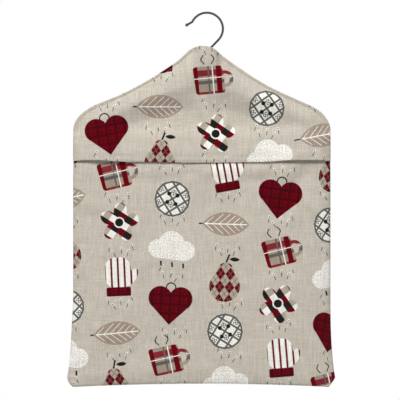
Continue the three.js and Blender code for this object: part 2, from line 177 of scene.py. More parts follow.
def crowded(count: int, crowd: float) -> Array:
    """Spread shares from -1 to 1, even with a crowd of 0 and closest at both ends with a crowd of 1."""
    even = np.linspace(-1.0, 1.0, count)
    return mix(even, np.sin(even * math.pi / 2.0), crowd)


def between(top: Array, bottom: Array, count: int, crowd: float) -> Array:
    """Spread rows between an upper and a lower edge, closer together towards both."""
    share = (crowded(count, crowd)[:, None] + 1.0) / 2.0
    return mix(top[None, :], bottom[None, :], share)


def grid_faces(rows: int, columns: int, closed: bool = False) -> Array:
    """Join a grid of points into faces.

    Args:
        rows: How many rows.
        columns: How many columns.
        closed: Whether the last column joins the first.

    Returns:
        The faces, four corners to a row.
    """
    index = np.arange(rows * columns).reshape(rows, columns)
    if closed:
        index = np.concatenate([index, index[:, :1]], axis=1)
    corners = [index[:-1, :-1], index[1:, :-1], index[1:, 1:], index[:-1, 1:]]
    return np.stack(corners, axis=-1).reshape(-1, 4)


def bar_faces(rings: int, sides: int) -> Faces:
    """Join rings of points into a bar with closed ends."""
    ends = [list(range(sides)), list(range(rings * sides - 1, (rings - 1) * sides - 1, -1))]
    return grid_faces(rings, sides, closed=True).tolist() + ends


def renumbered(faces: Faces, first: int) -> Faces:
    """Number the corners of faces from another first corner."""
    return [[corner + first for corner in face] for face in faces]


def tube(line: Array, radii: Array, sides: int) -> tuple[Array, Faces]:
    """Sweep a round section of varying radius along a line.

    Args:
        line: The line's points, one to a row.
        radii: The section's radius at each of them.
        sides: How many sides the section has.

    Returns:
        The tube's points and faces, with closed ends.
    """
    way = unit(np.gradient(line, axis=0))
    side = np.cross(way[0], (0.0, 1.0, 0.0))
    if np.linalg.norm(side) < TINY:
        side = np.array([1.0, 0.0, 0.0])
    rings = []
    turn = np.linspace(0.0, FULL_TURN, sides, endpoint=False)
    for point, heading, radius in zip(line, way, radii):
        side = unit(side - heading * (side @ heading))
        other = np.cross(heading, side)
        rings.append(point + radius * (np.cos(turn)[:, None] * side + np.sin(turn)[:, None] * other))
    return np.concatenate(rings), [face[::-1] for face in bar_faces(len(line), sides)]


def add_object(name: str, points: Array, faces: Array | Faces, materials: Sequence[Material]) -> Object:
    """Make a smooth mesh object in the scene.

    Args:
        name: The piece's name.
        points: Its corners, with the coordinates on the last axis.
        faces: Its faces, as numbers of corners.
        materials: Its material slots.

    Returns:
        The object.
    """
    mesh = bpy.data.meshes.new(name)
    corners = np.asarray(points, float).reshape(-1, 3).tolist()
    mesh.from_pydata(corners, [], [list(map(int, face)) for face in faces])
    mesh.polygons.foreach_set("use_smooth", [True] * len(mesh.polygons))
    for material in materials:
        mesh.materials.append(material)
    piece = bpy.data.objects.new(name, mesh)
    bpy.context.scene.collection.objects.link(piece)
    return piece


class Ink(Enum):
    """Colours of the cloth, its print and the thread, as a screen shows them."""

    LINEN = (198, 190, 177)
    REVERSE = (212, 205, 195)
    CRIMSON = (104, 4, 18)
    DEEP_CRIMSON = (74, 4, 14)
    PLAID_RED = (132, 42, 50)
    OFF_WHITE = (241, 239, 232)
    TAUPE = (164, 147, 132)
    STONE = (176, 166, 150)
    GREY = (96, 95, 91)
    CHARCOAL = (30, 29, 27)
    THREAD = (186, 177, 163)

    @property
    def linear(self) -> Colour:
        """The colour in the linear numbers that shaders take."""
        parts = [part / 255.0 for part in self.value]
        return (*(p / 12.92 if p <= 0.04045 else ((p + 0.055) / 1.055) ** 2.4 for p in parts), 1.0)


@dataclass(frozen=True)
class Field:
    """A number that varies over a surface: a socket of a node tree that takes part in sums."""

    tree: NodeTree
    socket: NodeSocket

    def feed(self, slot: NodeSocket) -> None:
        """Link this number to an input."""
        self.tree.links.new(self.socket, slot)

    def apply(self, operation: str, *others: "Field | float") -> "Field":
        """Put this number through a maths node.

        Args:
            operation: The node's operation.
            others: Its other inputs.

        Returns:
            What comes out.
        """
        node = self.tree.nodes.new("ShaderNodeMath")
        node.operation = operation
        self.feed(node.inputs[0])
        for slot, other in zip(node.inputs[1:], others):
            if isinstance(other, Field):
                other.feed(slot)
            else:
                slot.default_value = other
        return Field(self.tree, node.outputs[0])

    def __add__(self, other: "Field | float") -> "Field":
        """Add."""
        return self.apply("ADD", other)

    def __sub__(self, other: "Field | float") -> "Field":
        """Subtract."""
        return self.apply("SUBTRACT", other)

    def __mul__(self, other: "Field | float") -> "Field":
        """Multiply."""
        return self.apply("MULTIPLY", other)

    def __neg__(self) -> "Field":
        """Change the sign."""
        return self * -1.0

    def __abs__(self) -> "Field":
        """Leave out the sign."""
        return self.apply("ABSOLUTE")

    def least(self, *others: "Field") -> "Field":
        """Join shapes: the lowest of several numbers."""
        return reduce(lambda lowest, other: lowest.apply("MINIMUM", other), others, self)

    def most(self, *others: "Field | float") -> "Field":
        """Cut shapes by each other: the highest of several numbers."""
        return reduce(lambda highest, other: highest.apply("MAXIMUM", other), others, self)

    def modulo(self, number: float) -> "Field":
        """Give what is left over after whole numbers of times."""
        return self.apply("FLOORED_MODULO", number)

    def folded(self, period: float) -> "Field":
        """Repeat from minus half a period to plus half a period."""
        return self.apply("WRAP", period / 2.0, -period / 2.0)

    def count(self, period: float) -> "Field":
        """Number the periods."""
        return (self * (1.0 / period)).apply("FLOOR")

    def cells(self, period: float) -> tuple["Field", "Field"]:
        """Number the periods and give the places from the middle of each."""
        number = self.count(period)
        return number, self - (number + 0.5) * period

    def is_number(self, number: float) -> "Field":
        """Give 1 where this is that whole number, and 0 elsewhere."""
        return self.apply("COMPARE", number, 0.5)

    def inside(self, soft: float = 0.22) -> "Field":
        """Turn the distance from a shape's edge into ink: 1 inside, 0 outside, with a slight bleed.

        Args:
            soft: Half the width of the bleed.

        Returns:
            The ink.
        """
        node = self.tree.nodes.new("ShaderNodeMapRange")
        node.interpolation_type = "SMOOTHSTEP"
        node.inputs["From Min"].default_value = soft
        node.inputs["From Max"].default_value = -soft
        self.feed(node.inputs["Value"])
        return Field(self.tree, node.outputs["Result"])


def joined(*places: Field) -> NodeSocket:
    """Join numbers into a vector.

    Args:
        places: Up to three numbers.

    Returns:
        The vector's socket.
    """
    node = places[0].tree.nodes.new("ShaderNodeCombineXYZ")
    for slot, place in zip(node.inputs, places):
        place.feed(slot)
    return node.outputs[0]


def length(x: Field, y: Field) -> Field:
    """Measure how far a place is from the middle."""
    return (x * x + y * y).apply("SQRT")


def disc(x: Field, y: Field, middle: Pair, radius: float) -> Field:
    """Give the distance from the edge of a disc."""
    return length(x - middle[0], y - middle[1]) - radius


def bar(x: Field, y: Field, middle: Pair, half: Pair) -> Field:
    """Give the distance from the edge of an upright bar."""
    return (abs(x - middle[0]) - half[0]).most(abs(y - middle[1]) - half[1])


def slab(x: Field, y: Field, middle: Pair, half: Pair, corner: float) -> Field:
    """Give the distance from the edge of an upright bar with round corners."""
    across, up = (abs(place - at) - (size - corner) for place, at, size in zip((x, y), middle, half))
    return length(across.most(0.0), up.most(0.0)) - corner


def stripe(way: Field, period: float, half: float, middle: float = 0.0) -> Field:
    """Give the distance from the edges of stripes that repeat along a way."""
    return abs((way - middle).folded(period)) - half


@dataclass
class Picture:
    """Colours laid over each other on a surface."""

    tree: NodeTree
    ground: Ink
    socket: "NodeSocket | None" = None

    def pour(self, slot: NodeSocket) -> None:
        """Give this picture's colour to an input.

        Args:
            slot: The input, for a colour or a vector.
        """
        if self.socket is None:
            slot.default_value = self.ground.linear[:len(slot.default_value)]
        else:
            self.tree.links.new(self.socket, slot)

    def lay(self, colour: "Ink | Picture", where: Field) -> "Picture":
        """Lay a colour or another picture over this one.

        Args:
            colour: What to lay.
            where: Its ink, from 0 to 1.

        Returns:
            This picture.
        """
        node = self.tree.nodes.new("ShaderNodeMix")
        node.data_type = "RGBA"
        where.feed(node.inputs["Factor"])
        self.pour(node.inputs[6])
        upper = colour if isinstance(colour, Picture) else Picture(self.tree, colour)
        upper.pour(node.inputs[7])
        self.socket = node.outputs[2]
        return self


Layers = list[tuple[Ink | Picture, Field]]


@dataclass(frozen=True)
class Motif:
    """The motifs of the print and their fillings, by places from a motif's middle in millimetres."""

    tree: NodeTree
    x: Field
    y: Field

    def spot(self, middle: Pair, radius: float) -> Field:
        """Give the distance from the edge of a disc on the motif."""
        return disc(self.x, self.y, middle, radius)

    def filling(self, ground: Ink, layers: Layers) -> Picture:
        """Lay shapes of colour over a ground.

        Args:
            ground: The ground's colour.
            layers: The colours and the distances from their edges, from the lowest up.

        Returns:
            The filling.
        """
        picture = Picture(self.tree, ground)
        for colour, shape in layers:
            picture.lay(colour, shape.inside())
        return picture

    def tartan(self) -> Picture:
        """Fill with crimson, crossed by darker lines.

        Returns:
            The filling.
        """
        pitch, broad, fine, apart = 9.0, 1.3, 0.4, 3.6
        lines = [stripe(way, pitch, half, middle) for way in (self.x, self.y)
                 for half, middle in ((broad, 0.0), (fine, apart))]
        return self.filling(Ink.CRIMSON, [(Ink.DEEP_CRIMSON, line) for line in lines])

    def argyle(self) -> Picture:
        """Fill with crimson and stone diamonds under fine crossed lines.

        Returns:
            The filling.
        """
        wide, tall, line_half = 9.6, 13.0, 0.3
        across, up = abs(self.x.folded(wide)), abs(self.y.folded(tall) * (wide / tall))
        diamonds, lines = across + up - wide / 2.0, abs(across - up) - line_half
        return self.filling(Ink.CRIMSON, [(Ink.STONE, diamonds), (Ink.GREY, lines)])

    def lattice(self) -> Picture:
        """Fill with off-white under a grey diagonal lattice and small checks.

        Returns:
            The filling.
        """
        pitch, check_pitch, check_half = 9.0, 2.0, 0.36
        ways = [way * math.sqrt(0.5) for way in (self.x + self.y, self.x - self.y)]
        chequer = (ways[0].count(pitch) + ways[1].count(pitch)).modulo(2.0)
        checks = stripe(self.x, check_pitch, check_half).least(stripe(self.y, check_pitch, check_half))
        cloth = Picture(self.tree, Ink.OFF_WHITE).lay(Ink.GREY, checks.inside() * chequer)
        for ink, half in ((Ink.OFF_WHITE, 1.9), (Ink.GREY, 0.95)):
            for way in ways:
                cloth.lay(ink, stripe(way, pitch, half).inside())
        return cloth

    def ticking(self) -> Picture:
        """Fill with off-white and crimson stripes."""
        pitch, half = 6.4, 0.95
        return self.filling(Ink.OFF_WHITE, [(Ink.CRIMSON, stripe(self.x, pitch, half))])

    def plaid(self) -> Picture:
        """Fill with taupe under red and grey bands and thin off-white lines."""
        tall, wide = 21.0, 23.0
        return self.filling(Ink.TAUPE, [
            (Ink.PLAID_RED, stripe(self.y, tall, 3.0, 5.0)),
            (Ink.GREY, stripe(self.y, tall, 1.6, -4.0)),
            (Ink.CRIMSON, stripe(self.x, wide, 2.6, 6.0)),
            (Ink.GREY, stripe(self.x, wide, 0.8, -4.0)),
            (Ink.OFF_WHITE, stripe(self.x, wide, 0.5)),
            (Ink.OFF_WHITE, stripe(self.y, tall, 0.4)),
        ])

    def patches(self) -> Picture:
        """Fill with diamonds of four colours, sewn corner to corner.

        Returns:
            The filling.
        """
        pitch = 9.5
        up = self.y - pitch / 2.0
        number = ((self.x + up).count(pitch) + (self.x - up).count(pitch) * 2.0).modulo(4.0)
        cloth = Picture(self.tree, Ink.CRIMSON)
        for place, ink in enumerate((Ink.OFF_WHITE, Ink.CHARCOAL, Ink.STONE), start=1):
            cloth.lay(ink, number.is_number(float(place)))
        return cloth

    def flecked(self) -> Picture:
        """Fill with off-white flecked with stone.

        Returns:
            The filling.
        """
        flecks_per_millimetre, fleck_radius, bleed = 0.62, 0.2, 0.12
        flecks = self.tree.nodes.new("ShaderNodeTexVoronoi")
        flecks.voronoi_dimensions = "2D"
        flecks.inputs["Scale"].default_value = flecks_per_millimetre
        self.tree.links.new(joined(self.x, self.y), flecks.inputs["Vector"])
        away = Field(self.tree, flecks.outputs["Distance"])
        return Picture(self.tree, Ink.OFF_WHITE).lay(Ink.STONE, (away - fleck_radius).inside(bleed))

    def heart(self) -> Layers:
        """Draw a tartan heart with a hanging loop.

        Returns:
            Its layers, from the lowest up.
        """
        slant = 0.7
        side = abs(self.x)
        lobes = disc(side, self.y, (10.0, 6.0), 11.5)
        point = (side + abs(self.y + 1.0) - 19.0).most(self.y - 9.0) * slant
        loop = (abs(self.spot((0.0, 16.5), 4.6)) - 0.6).most(-(self.y - 12.5))
        return [(Ink.CHARCOAL, loop), (self.tartan(), lobes.least(point))]

    def leaf(self) -> Layers:
        """Draw a taupe leaf with off-white veins.

        Returns:
            Its layers, from the lowest up.
        """
        arc_middle, arc_radius, border = 17.0, 28.5, 1.6
        vein_slant, vein_pitch, vein_half, rib_half = 1.1, 6.6, 0.42, 0.6
        blade = self.spot((0.0, -arc_middle), arc_radius).most(self.spot((0.0, arc_middle), arc_radius))
        side = abs(self.y)
        veins = stripe(self.x - side * vein_slant, vein_pitch, vein_half).least(side - rib_half)
        stalk = bar(self.x, self.y, (-25.5, 0.0), (4.0, 0.7))
        return [(Ink.CHARCOAL, stalk), (Ink.TAUPE, blade), (Ink.OFF_WHITE, veins.most(blade + border))]

    def cloud(self) -> Layers:
        """Draw an off-white cloud with a few dark drops.

        Returns:
            Its layers, from the lowest up.
        """
        drop_lean, drop_pitch, drops_half = 0.2, 11.0, 15.0
        puffs = [self.spot((-13.0, -1.0), 9.0), self.spot((0.0, 5.0), 12.5), self.spot((14.0, 0.0), 9.5)]
        shape = bar(self.x, self.y, (0.0, -5.0), (14.0, 5.0)).least(*puffs)
        drops = bar((self.x + self.y * drop_lean).folded(drop_pitch), self.y, (0.0, -15.0), (0.9, 2.4))
        return [(Ink.CHARCOAL, drops.most(abs(self.x) - drops_half)), (self.flecked(), shape)]

    def button(self) -> Layers:
        """Draw a large patterned button with four holes.

        Returns:
            Its layers, from the lowest up.
        """
        rim_inset, rim_half = 1.1, 0.9
        face = self.spot((0.0, 0.0), 17.5)
        rim = abs(face + rim_inset) - rim_half
        holes = disc(abs(self.x), abs(self.y), (4.2, 4.2), 2.0)
        return [(self.lattice(), face), (Ink.GREY, rim), (Ink.CHARCOAL, holes)]

    def pear(self) -> Layers:
        """Draw an argyle pear with a dark stalk and leaf.

        Returns:
            Its layers, from the lowest up.
        """
        waist, stalk_lean = 9.0, 0.3
        shape = self.spot((0.0, -6.0), 15.0).apply("SMOOTH_MIN", self.spot((0.0, 10.0), 7.5), waist)
        stalk = bar(self.x - self.y * stalk_lean, self.y, (-5.2, 21.0), (0.9, 4.5))
        leaf = self.spot((8.0, 15.5), 7.5).most(self.spot((8.0, 26.5), 7.5))
        return [(Ink.CHARCOAL, stalk.least(leaf)), (self.argyle(), shape)]

    def mitten(self) -> Layers:
        """Draw a striped mitten with a crimson cuff.

        Returns:
            Its layers, from the lowest up.
        """
        thumb_lean, thumb_stretch, crotch = 0.45, 0.6, 3.0
        palm = slab(self.x, self.y, (0.0, 4.0), (12.5, 15.0), 10.0)
        thumb = length(self.x - self.y * thumb_lean - 14.0, (self.y + 0.5) * thumb_stretch) - 4.8
        cuff = slab(self.x, self.y, (0.0, -14.5), (12.0, 4.4), 1.5)
        return [(self.ticking(), palm.apply("SMOOTH_MIN", thumb, crotch)), (self.tartan(), cuff)]

    def flower(self) -> Layers:
        """Draw a patchwork flower with a dark eye.

        Returns:
            Its layers, from the lowest up.
        """
        petal_count, petal_length, petal_foot, slant, eye_border = 5, 9.0, 10.5, 0.8, 1.3
        petals = abs((self.y.apply("ARCTAN2", self.x) * (petal_count / 2.0)).apply("COSINE"))
        shape = (length(self.x, self.y) - petals * petal_length - petal_foot) * slant
        eye = self.spot((0.0, 0.0), 4.0)
        return [(self.patches(), shape), (Ink.OFF_WHITE, eye - eye_border), (Ink.CHARCOAL, eye)]

    def mug(self) -> Layers:
        """Draw a plaid mug with two wisps of steam.

        Returns:
            Its layers, from the lowest up.
        """
        cup_lean, handle_half, wave_rate, wave_width = 0.06, 1.7, 0.6, 1.3
        cup = slab(self.x + self.y * cup_lean, self.y, (-4.0, -2.0), (14.5, 13.5), 3.0)
        handle = abs(self.spot((11.5, -2.0), 6.6)) - handle_half
        wave = (self.y * wave_rate).apply("SINE") * wave_width
        steam = bar(abs(self.x + 4.0) + wave, self.y, (5.0, 18.0), (0.6, 4.6))
        return [(Ink.CHARCOAL, steam), (self.plaid(), handle.least(cup))]

    def kinds(self) -> list[Callable[[], Layers]]:
        """List the kinds of motif in the order that the print takes them."""
        return [self.heart, self.cloud, self.button, self.pear,
                self.leaf, self.mitten, self.flower, self.mug]


@dataclass(frozen=True)
class CountryPrint:
    """A half-drop print of patched motifs with fans of small buds between them, in millimetres."""

    pitch_across: float = 61.0
    pitch_down: float = 61.0
    tilt: float = 0.5
    stray: float = 6.0
    motif_scale: float = 1.16
    kind_step: float = 3.0
    bud_seed: float = 40.0
    bud_middle: Pair = (0.0, 6.6)
    bud_radius: float = 1.4
    eye_middle: Pair = (0.0, 6.4)
    eye_radius: float = 0.7
    stem_middle: Pair = (0.0, 2.2)
    stem_half: Pair = (0.4, 2.2)
    # Each bud's place across, the height of its foot and its lean.
    buds: tuple[tuple[float, float, float], ...] = (
        (-13.0, 3.0, 0.3), (-6.0, -4.0, -0.35), (1.0, -1.0, 0.1), (6.5, -5.0, 0.45), (15.0, 1.0, -0.2))

    def draw(self, tree: NodeTree, across: Field, up: Field) -> Picture:
        """Draw the print.

        Args:
            tree: The material's node tree.
            across: Places across the cut, in millimetres.
            up: Places up the cut.

        Returns:
            The printed cloth.
        """
        column, x = across.cells(self.pitch_across)
        raised = up + column.modulo(2.0) * (self.pitch_down / 2.0)
        picture = Picture(tree, Ink.LINEN)
        self.draw_buds(picture, column, x, raised + self.pitch_down / 2.0)
        row, y = raised.cells(self.pitch_down)
        motif = Motif(tree, *(place * (1.0 / self.motif_scale) for place in self.jog(column, row, x, y)))
        kinds = motif.kinds()
        kind = (column * self.kind_step + row).modulo(float(len(kinds)))
        for number, layers in enumerate(kinds):
            for colour, shape in layers():
                picture.lay(colour, shape.inside() * kind.is_number(float(number)))
        return picture

    def jog(self, column: Field, row: Field, x: Field, y: Field) -> tuple[Field, Field]:
        """Shift and tilt each motif a little, so that the rows look drawn by hand.

        Args:
            column: The motif's column.
            row: The motif's row.
            x: Places across from the motif's middle.
            y: Places up from it.

        Returns:
            The places across and up on the motif itself.
        """
        tree = x.tree
        noise = tree.nodes.new("ShaderNodeTexWhiteNoise")
        noise.noise_dimensions = "2D"
        tree.links.new(joined(column, row), noise.inputs["Vector"])
        parts = tree.nodes.new("ShaderNodeSeparateColor")
        tree.links.new(noise.outputs["Color"], parts.inputs[0])
        shift_x, shift_y, turn = (Field(tree, parts.outputs[part]) - 0.5 for part in range(3))
        x = x + shift_x * self.stray
        y = y + shift_y * self.stray
        turn = turn * self.tilt
        cosine, sine = turn.apply("COSINE"), turn.apply("SINE")
        return x * cosine - y * sine, x * sine + y * cosine

    def draw_buds(self, picture: Picture, column: Field, x: Field, raised: Field) -> None:
        """Draw the fans of small buds that stand between the motifs.

        Args:
            picture: The print so far.
            column: The column of the lattice.
            x: Places across from the column's middle.
            raised: Places up, on the lattice between the motifs.
        """
        row, y = raised.cells(self.pitch_down)
        x, y = self.jog(column + self.bud_seed, row, x, y)
        for across, foot, lean in self.buds:
            height = y - foot
            stem = x - across - height * lean
            picture.lay(Ink.OFF_WHITE, disc(stem, height, self.bud_middle, self.bud_radius).inside())
            picture.lay(Ink.CHARCOAL, disc(stem, height, self.eye_middle, self.eye_radius).inside())
            picture.lay(Ink.CHARCOAL, bar(stem, height, self.stem_middle, self.stem_half).inside())


class Finish:
    """A material in the making: its node tree, its shader and what the finishes share."""

    def __init__(self, name: str, colour: Colour, roughness: float, metallic: float = 0.0) -> None:
        """Start from a plain shader.

        Args:
            name: The material's name.
            colour: The linear colour under any pattern.
            roughness: How matt the surface is.
            metallic: 1 on bare metal.
        """
        self.material = bpy.data.materials.new(name)
        self.material.use_nodes = True
        self.material.diffuse_color = colour
        self.tree = self.material.node_tree
        self.shader = self.tree.nodes["Principled BSDF"]
        self.set_plain({"Base Color": colour, "Roughness": roughness, "Metallic": metallic})

    def set_plain(self, values: dict[str, float | Colour]) -> None:
        """Set sockets of the shader that are the same all over, by their names."""
        for name, value in values.items():
            self.shader.inputs[name].default_value = value

    def places(self, vector: NodeSocket, axes: str) -> list[Field]:
        """Part a vector of metres into places along its axes.

        Args:
            vector: The vector's socket.
            axes: The letters of the axes to read.

        Returns:
            The places, in millimetres.
        """
        parts = self.tree.nodes.new("ShaderNodeSeparateXYZ")
        self.tree.links.new(vector, parts.inputs[0])
        return [Field(self.tree, parts.outputs[axis]) * MILLIMETRES for axis in axes]

    def cut_places(self) -> list[Field]:
        """Give the places across and up the flat cut of a cloth, in millimetres.

        Returns:
            The two places.
        """
        node = self.tree.nodes.new("ShaderNodeUVMap")
        node.uv_map = CUT_MAP
        return self.places(node.outputs[0], "XY")

    def object_places(self) -> list[Field]:
        """Give the places along the three axes of the part's frame, in millimetres."""
        return self.places(self.tree.nodes.new("ShaderNodeTexCoord").outputs["Object"], "XYZ")

    def noise(self, *places: Field, detail: float = 2.0) -> Field:
        """Give a soft random number from places that are scaled to taste.

        Args:
            places: Up to three coordinates.
            detail: How many finer layers to add.

        Returns:
            A number about 0.5.
        """
        node = self.tree.nodes.new("ShaderNodeTexNoise")
        node.inputs["Scale"].default_value = 1.0
        node.inputs["Detail"].default_value = detail
        self.tree.links.new(joined(*places), node.inputs["Vector"])
        return Field(self.tree, node.outputs["Fac"])

    def paint(self, picture: Picture, level: Field) -> None:
        """Give the shader a picture whose brightness varies.

        Args:
            picture: The colours.
            level: What to multiply them by.
        """
        node = self.tree.nodes.new("ShaderNodeVectorMath")
        node.operation = "SCALE"
        picture.pour(node.inputs[0])
        level.feed(node.inputs["Scale"])
        self.tree.links.new(node.outputs[0], self.shader.inputs["Base Color"])

    def emboss(self, height: Field, depth: float, strength: float = 1.0) -> None:
        """Give the surface a fine relief.

        Args:
            height: The relief, from 0 to 1.
            depth: How deep it is, in metres.
            strength: How strongly it shows.
        """
        node = self.tree.nodes.new("ShaderNodeBump")
        node.inputs["Distance"].default_value = depth
        node.inputs["Strength"].default_value = strength
        height.feed(node.inputs["Height"])
        self.tree.links.new(node.outputs[0], self.shader.inputs["Normal"])


@dataclass(frozen=True)
class LinenCloth:
    """Woven linen-look cotton with uneven threads, printed on its right side (scales per millimetre)."""

    name: str
    ground: Ink
    printed: CountryPrint | None = None
    roughness: float = 0.93
    sheen: float = 0.05
    sheen_roughness: float = 0.5
    specular: float = 0.12
    thread_pitch: float = 0.75
    slub: float = 0.36
    slub_scale: Pair = (0.95, 0.05)
    warp_share: float = 1.25
    weft_share: float = 0.75
    streak: float = 0.28
    cross_streak: float = 0.17
    streak_scale: Pair = (0.42, 0.035)
    layer_starts: tuple[float, ...] = (70.0, 30.0, 50.0, 90.0)
    mottle: float = 0.12
    mottle_scale: float = 0.09
    fleck: float = 0.44
    fleck_scale: float = 0.55
    weave_share: float = 0.25
    relief_depth: float = 0.00022
    relief_strength: float = 0.5

    def material(self) -> Material:
        """Weave the cloth and print it.

        Returns:
            The finish.
        """
        finish = Finish(self.name, self.ground.linear, self.roughness)
        finish.set_plain({"Sheen Weight": self.sheen, "Sheen Roughness": self.sheen_roughness,
                          "Specular IOR Level": self.specular})
        across, up = finish.cut_places()
        picture = Picture(finish.tree, self.ground)
        if self.printed:
            picture = self.printed.draw(finish.tree, across, up)
        # Layers that start at different places aren't alike.
        weft_start, upright_start, level_start, fleck_start = self.layer_starts
        over, along = self.slub_scale
        warp = finish.noise(across * over, up * along)
        weft = finish.noise(across * along, up * over + weft_start)
        over, along = self.streak_scale
        upright = finish.noise(across * over + upright_start, up * along)
        level_lines = finish.noise(across * along, up * over + level_start)
        cloudy = finish.noise(across * self.mottle_scale, up * self.mottle_scale, detail=3.0)
        flecks = finish.noise(across * self.fleck_scale, up * self.fleck_scale + fleck_start)
        level = (warp * self.warp_share + weft * self.weft_share - 1.0) * self.slub + 1.0
        for layer, strength in ((cloudy, self.mottle), (upright, self.streak),
                                (level_lines, self.cross_streak), (flecks, self.fleck)):
            level = level + (layer - 0.5) * strength
        finish.paint(picture, level)
        turns = FULL_TURN / self.thread_pitch
        weave = (across * turns).apply("SINE") * (up * turns).apply("SINE")
        relief = weave * self.weave_share + (warp + weft) * 0.5
        finish.emboss(relief, self.relief_depth, self.relief_strength)
        return finish.material


@dataclass(frozen=True)
class DrawnSteel:
    """Drawn steel wire, dulled by handling, its colour far darker than bare steel as painted shade in its
    reflections (scales per millimetre).
    """

    name: str = "drawn_steel"
    # Painted shade: the colour is far darker than bare steel, so that the wire's reflections of the white
    # surroundings come out dark grey.
    colour: Colour = (0.085, 0.085, 0.083, 1.0)
    roughness: float = 0.12
    wear: float = 0.22
    wear_scale: float = 0.35
    scratch: float = 0.1
    scratch_scales: tuple[float, float, float] = (0.3, 6.0, 0.3)
    scratch_depth: float = 0.00003
    scratch_strength: float = 0.4

    def material(self) -> Material:
        """Draw the steel, with fine scratches along and round it.

        Returns:
            The finish.
        """
        finish = Finish(self.name, self.colour, self.roughness, metallic=1.0)
        places = finish.object_places()
        wear = finish.noise(*(place * self.wear_scale for place in places), detail=4.0)
        scratches = finish.noise(*(place * scale for place, scale in zip(places, self.scratch_scales)))
        roughness = wear * self.wear + scratches * self.scratch + self.roughness
        roughness.feed(finish.shader.inputs["Roughness"])
        finish.emboss(scratches, self.scratch_depth, self.scratch_strength)
        return finish.material


@dataclass(frozen=True)
class PaleWood:
    """Planed pale wood with a clear varnish (scales per millimetre)."""

    name: str = "pale_wood"
    light: Colour = (0.56, 0.37, 0.19, 1.0)
    dark: Colour = (0.36, 0.2, 0.09, 1.0)
    roughness: float = 0.35
    fibre_roughness: float = 0.25
    varnish: float = 0.25
    varnish_roughness: float = 0.25
    bend_scales: Pair = (0.012, 0.1)
    bend: float = 26.0
    ring_lean: float = 0.6
    ring_rate: float = 0.9
    ring_share: float = 0.55
    fibre_scales: Pair = (0.05, 3.0)
    fibre_depth: float = 0.0001
    fibre_strength: float = 0.3

    def material(self) -> Material:
        """Grow the grain along the hanger.

        Returns:
            The finish.
        """
        finish = Finish(self.name, self.light, self.roughness)
        finish.set_plain({"Coat Weight": self.varnish, "Coat Roughness": self.varnish_roughness})
        x, y, z = finish.object_places()
        along, over = self.bend_scales
        bend = finish.noise(x * along, y * over, z * over, detail=3.0)
        rings = ((z + y * self.ring_lean + bend * self.bend) * self.ring_rate).apply("SINE") * 0.5 + 0.5
        along, over = self.fibre_scales
        fibre = finish.noise(x * along, y * over, z * over, detail=3.0)
        grain = finish.tree.nodes.new("ShaderNodeMix")
        grain.data_type = "RGBA"
        (rings * self.ring_share + fibre * (1.0 - self.ring_share)).feed(grain.inputs["Factor"])
        grain.inputs[6].default_value = self.light
        grain.inputs[7].default_value = self.dark
        finish.tree.links.new(grain.outputs[2], finish.shader.inputs["Base Color"])
        (fibre * self.fibre_roughness + self.roughness).feed(finish.shader.inputs["Roughness"])
        finish.emboss(fibre, self.fibre_depth, self.fibre_strength)
        return finish.material


@dataclass(frozen=True)
class SewingThread:
    """Twisted cotton thread, close to the cloth in colour (scales per millimetre)."""

    name: str = "sewing_thread"
    ink: Ink = Ink.THREAD
    roughness: float = 0.8
    sheen: float = 0.2
    twist_rate: float = 9.0
    twist_shade: float = 0.12
    shade: float = 0.2
    shade_scale: float = 0.5
    least_level: float = 0.82
    twist_depth: float = 0.0001
    twist_strength: float = 0.6

    def material(self) -> Material:
        """Twist the thread.

        Returns:
            The finish.
        """
        finish = Finish(self.name, self.ink.linear, self.roughness)
        finish.set_plain({"Sheen Weight": self.sheen})
        x, y, z = finish.object_places()
        twist = ((x + y + z) * self.twist_rate).apply("SINE") * 0.5 + 0.5
        shade = finish.noise(*(place * self.shade_scale for place in (x, y, z)))
        level = shade * self.shade + twist * self.twist_shade + self.least_level
        finish.paint(Picture(finish.tree, self.ink), level)
        finish.emboss(twist, self.twist_depth, self.twist_strength)
        return finish.material


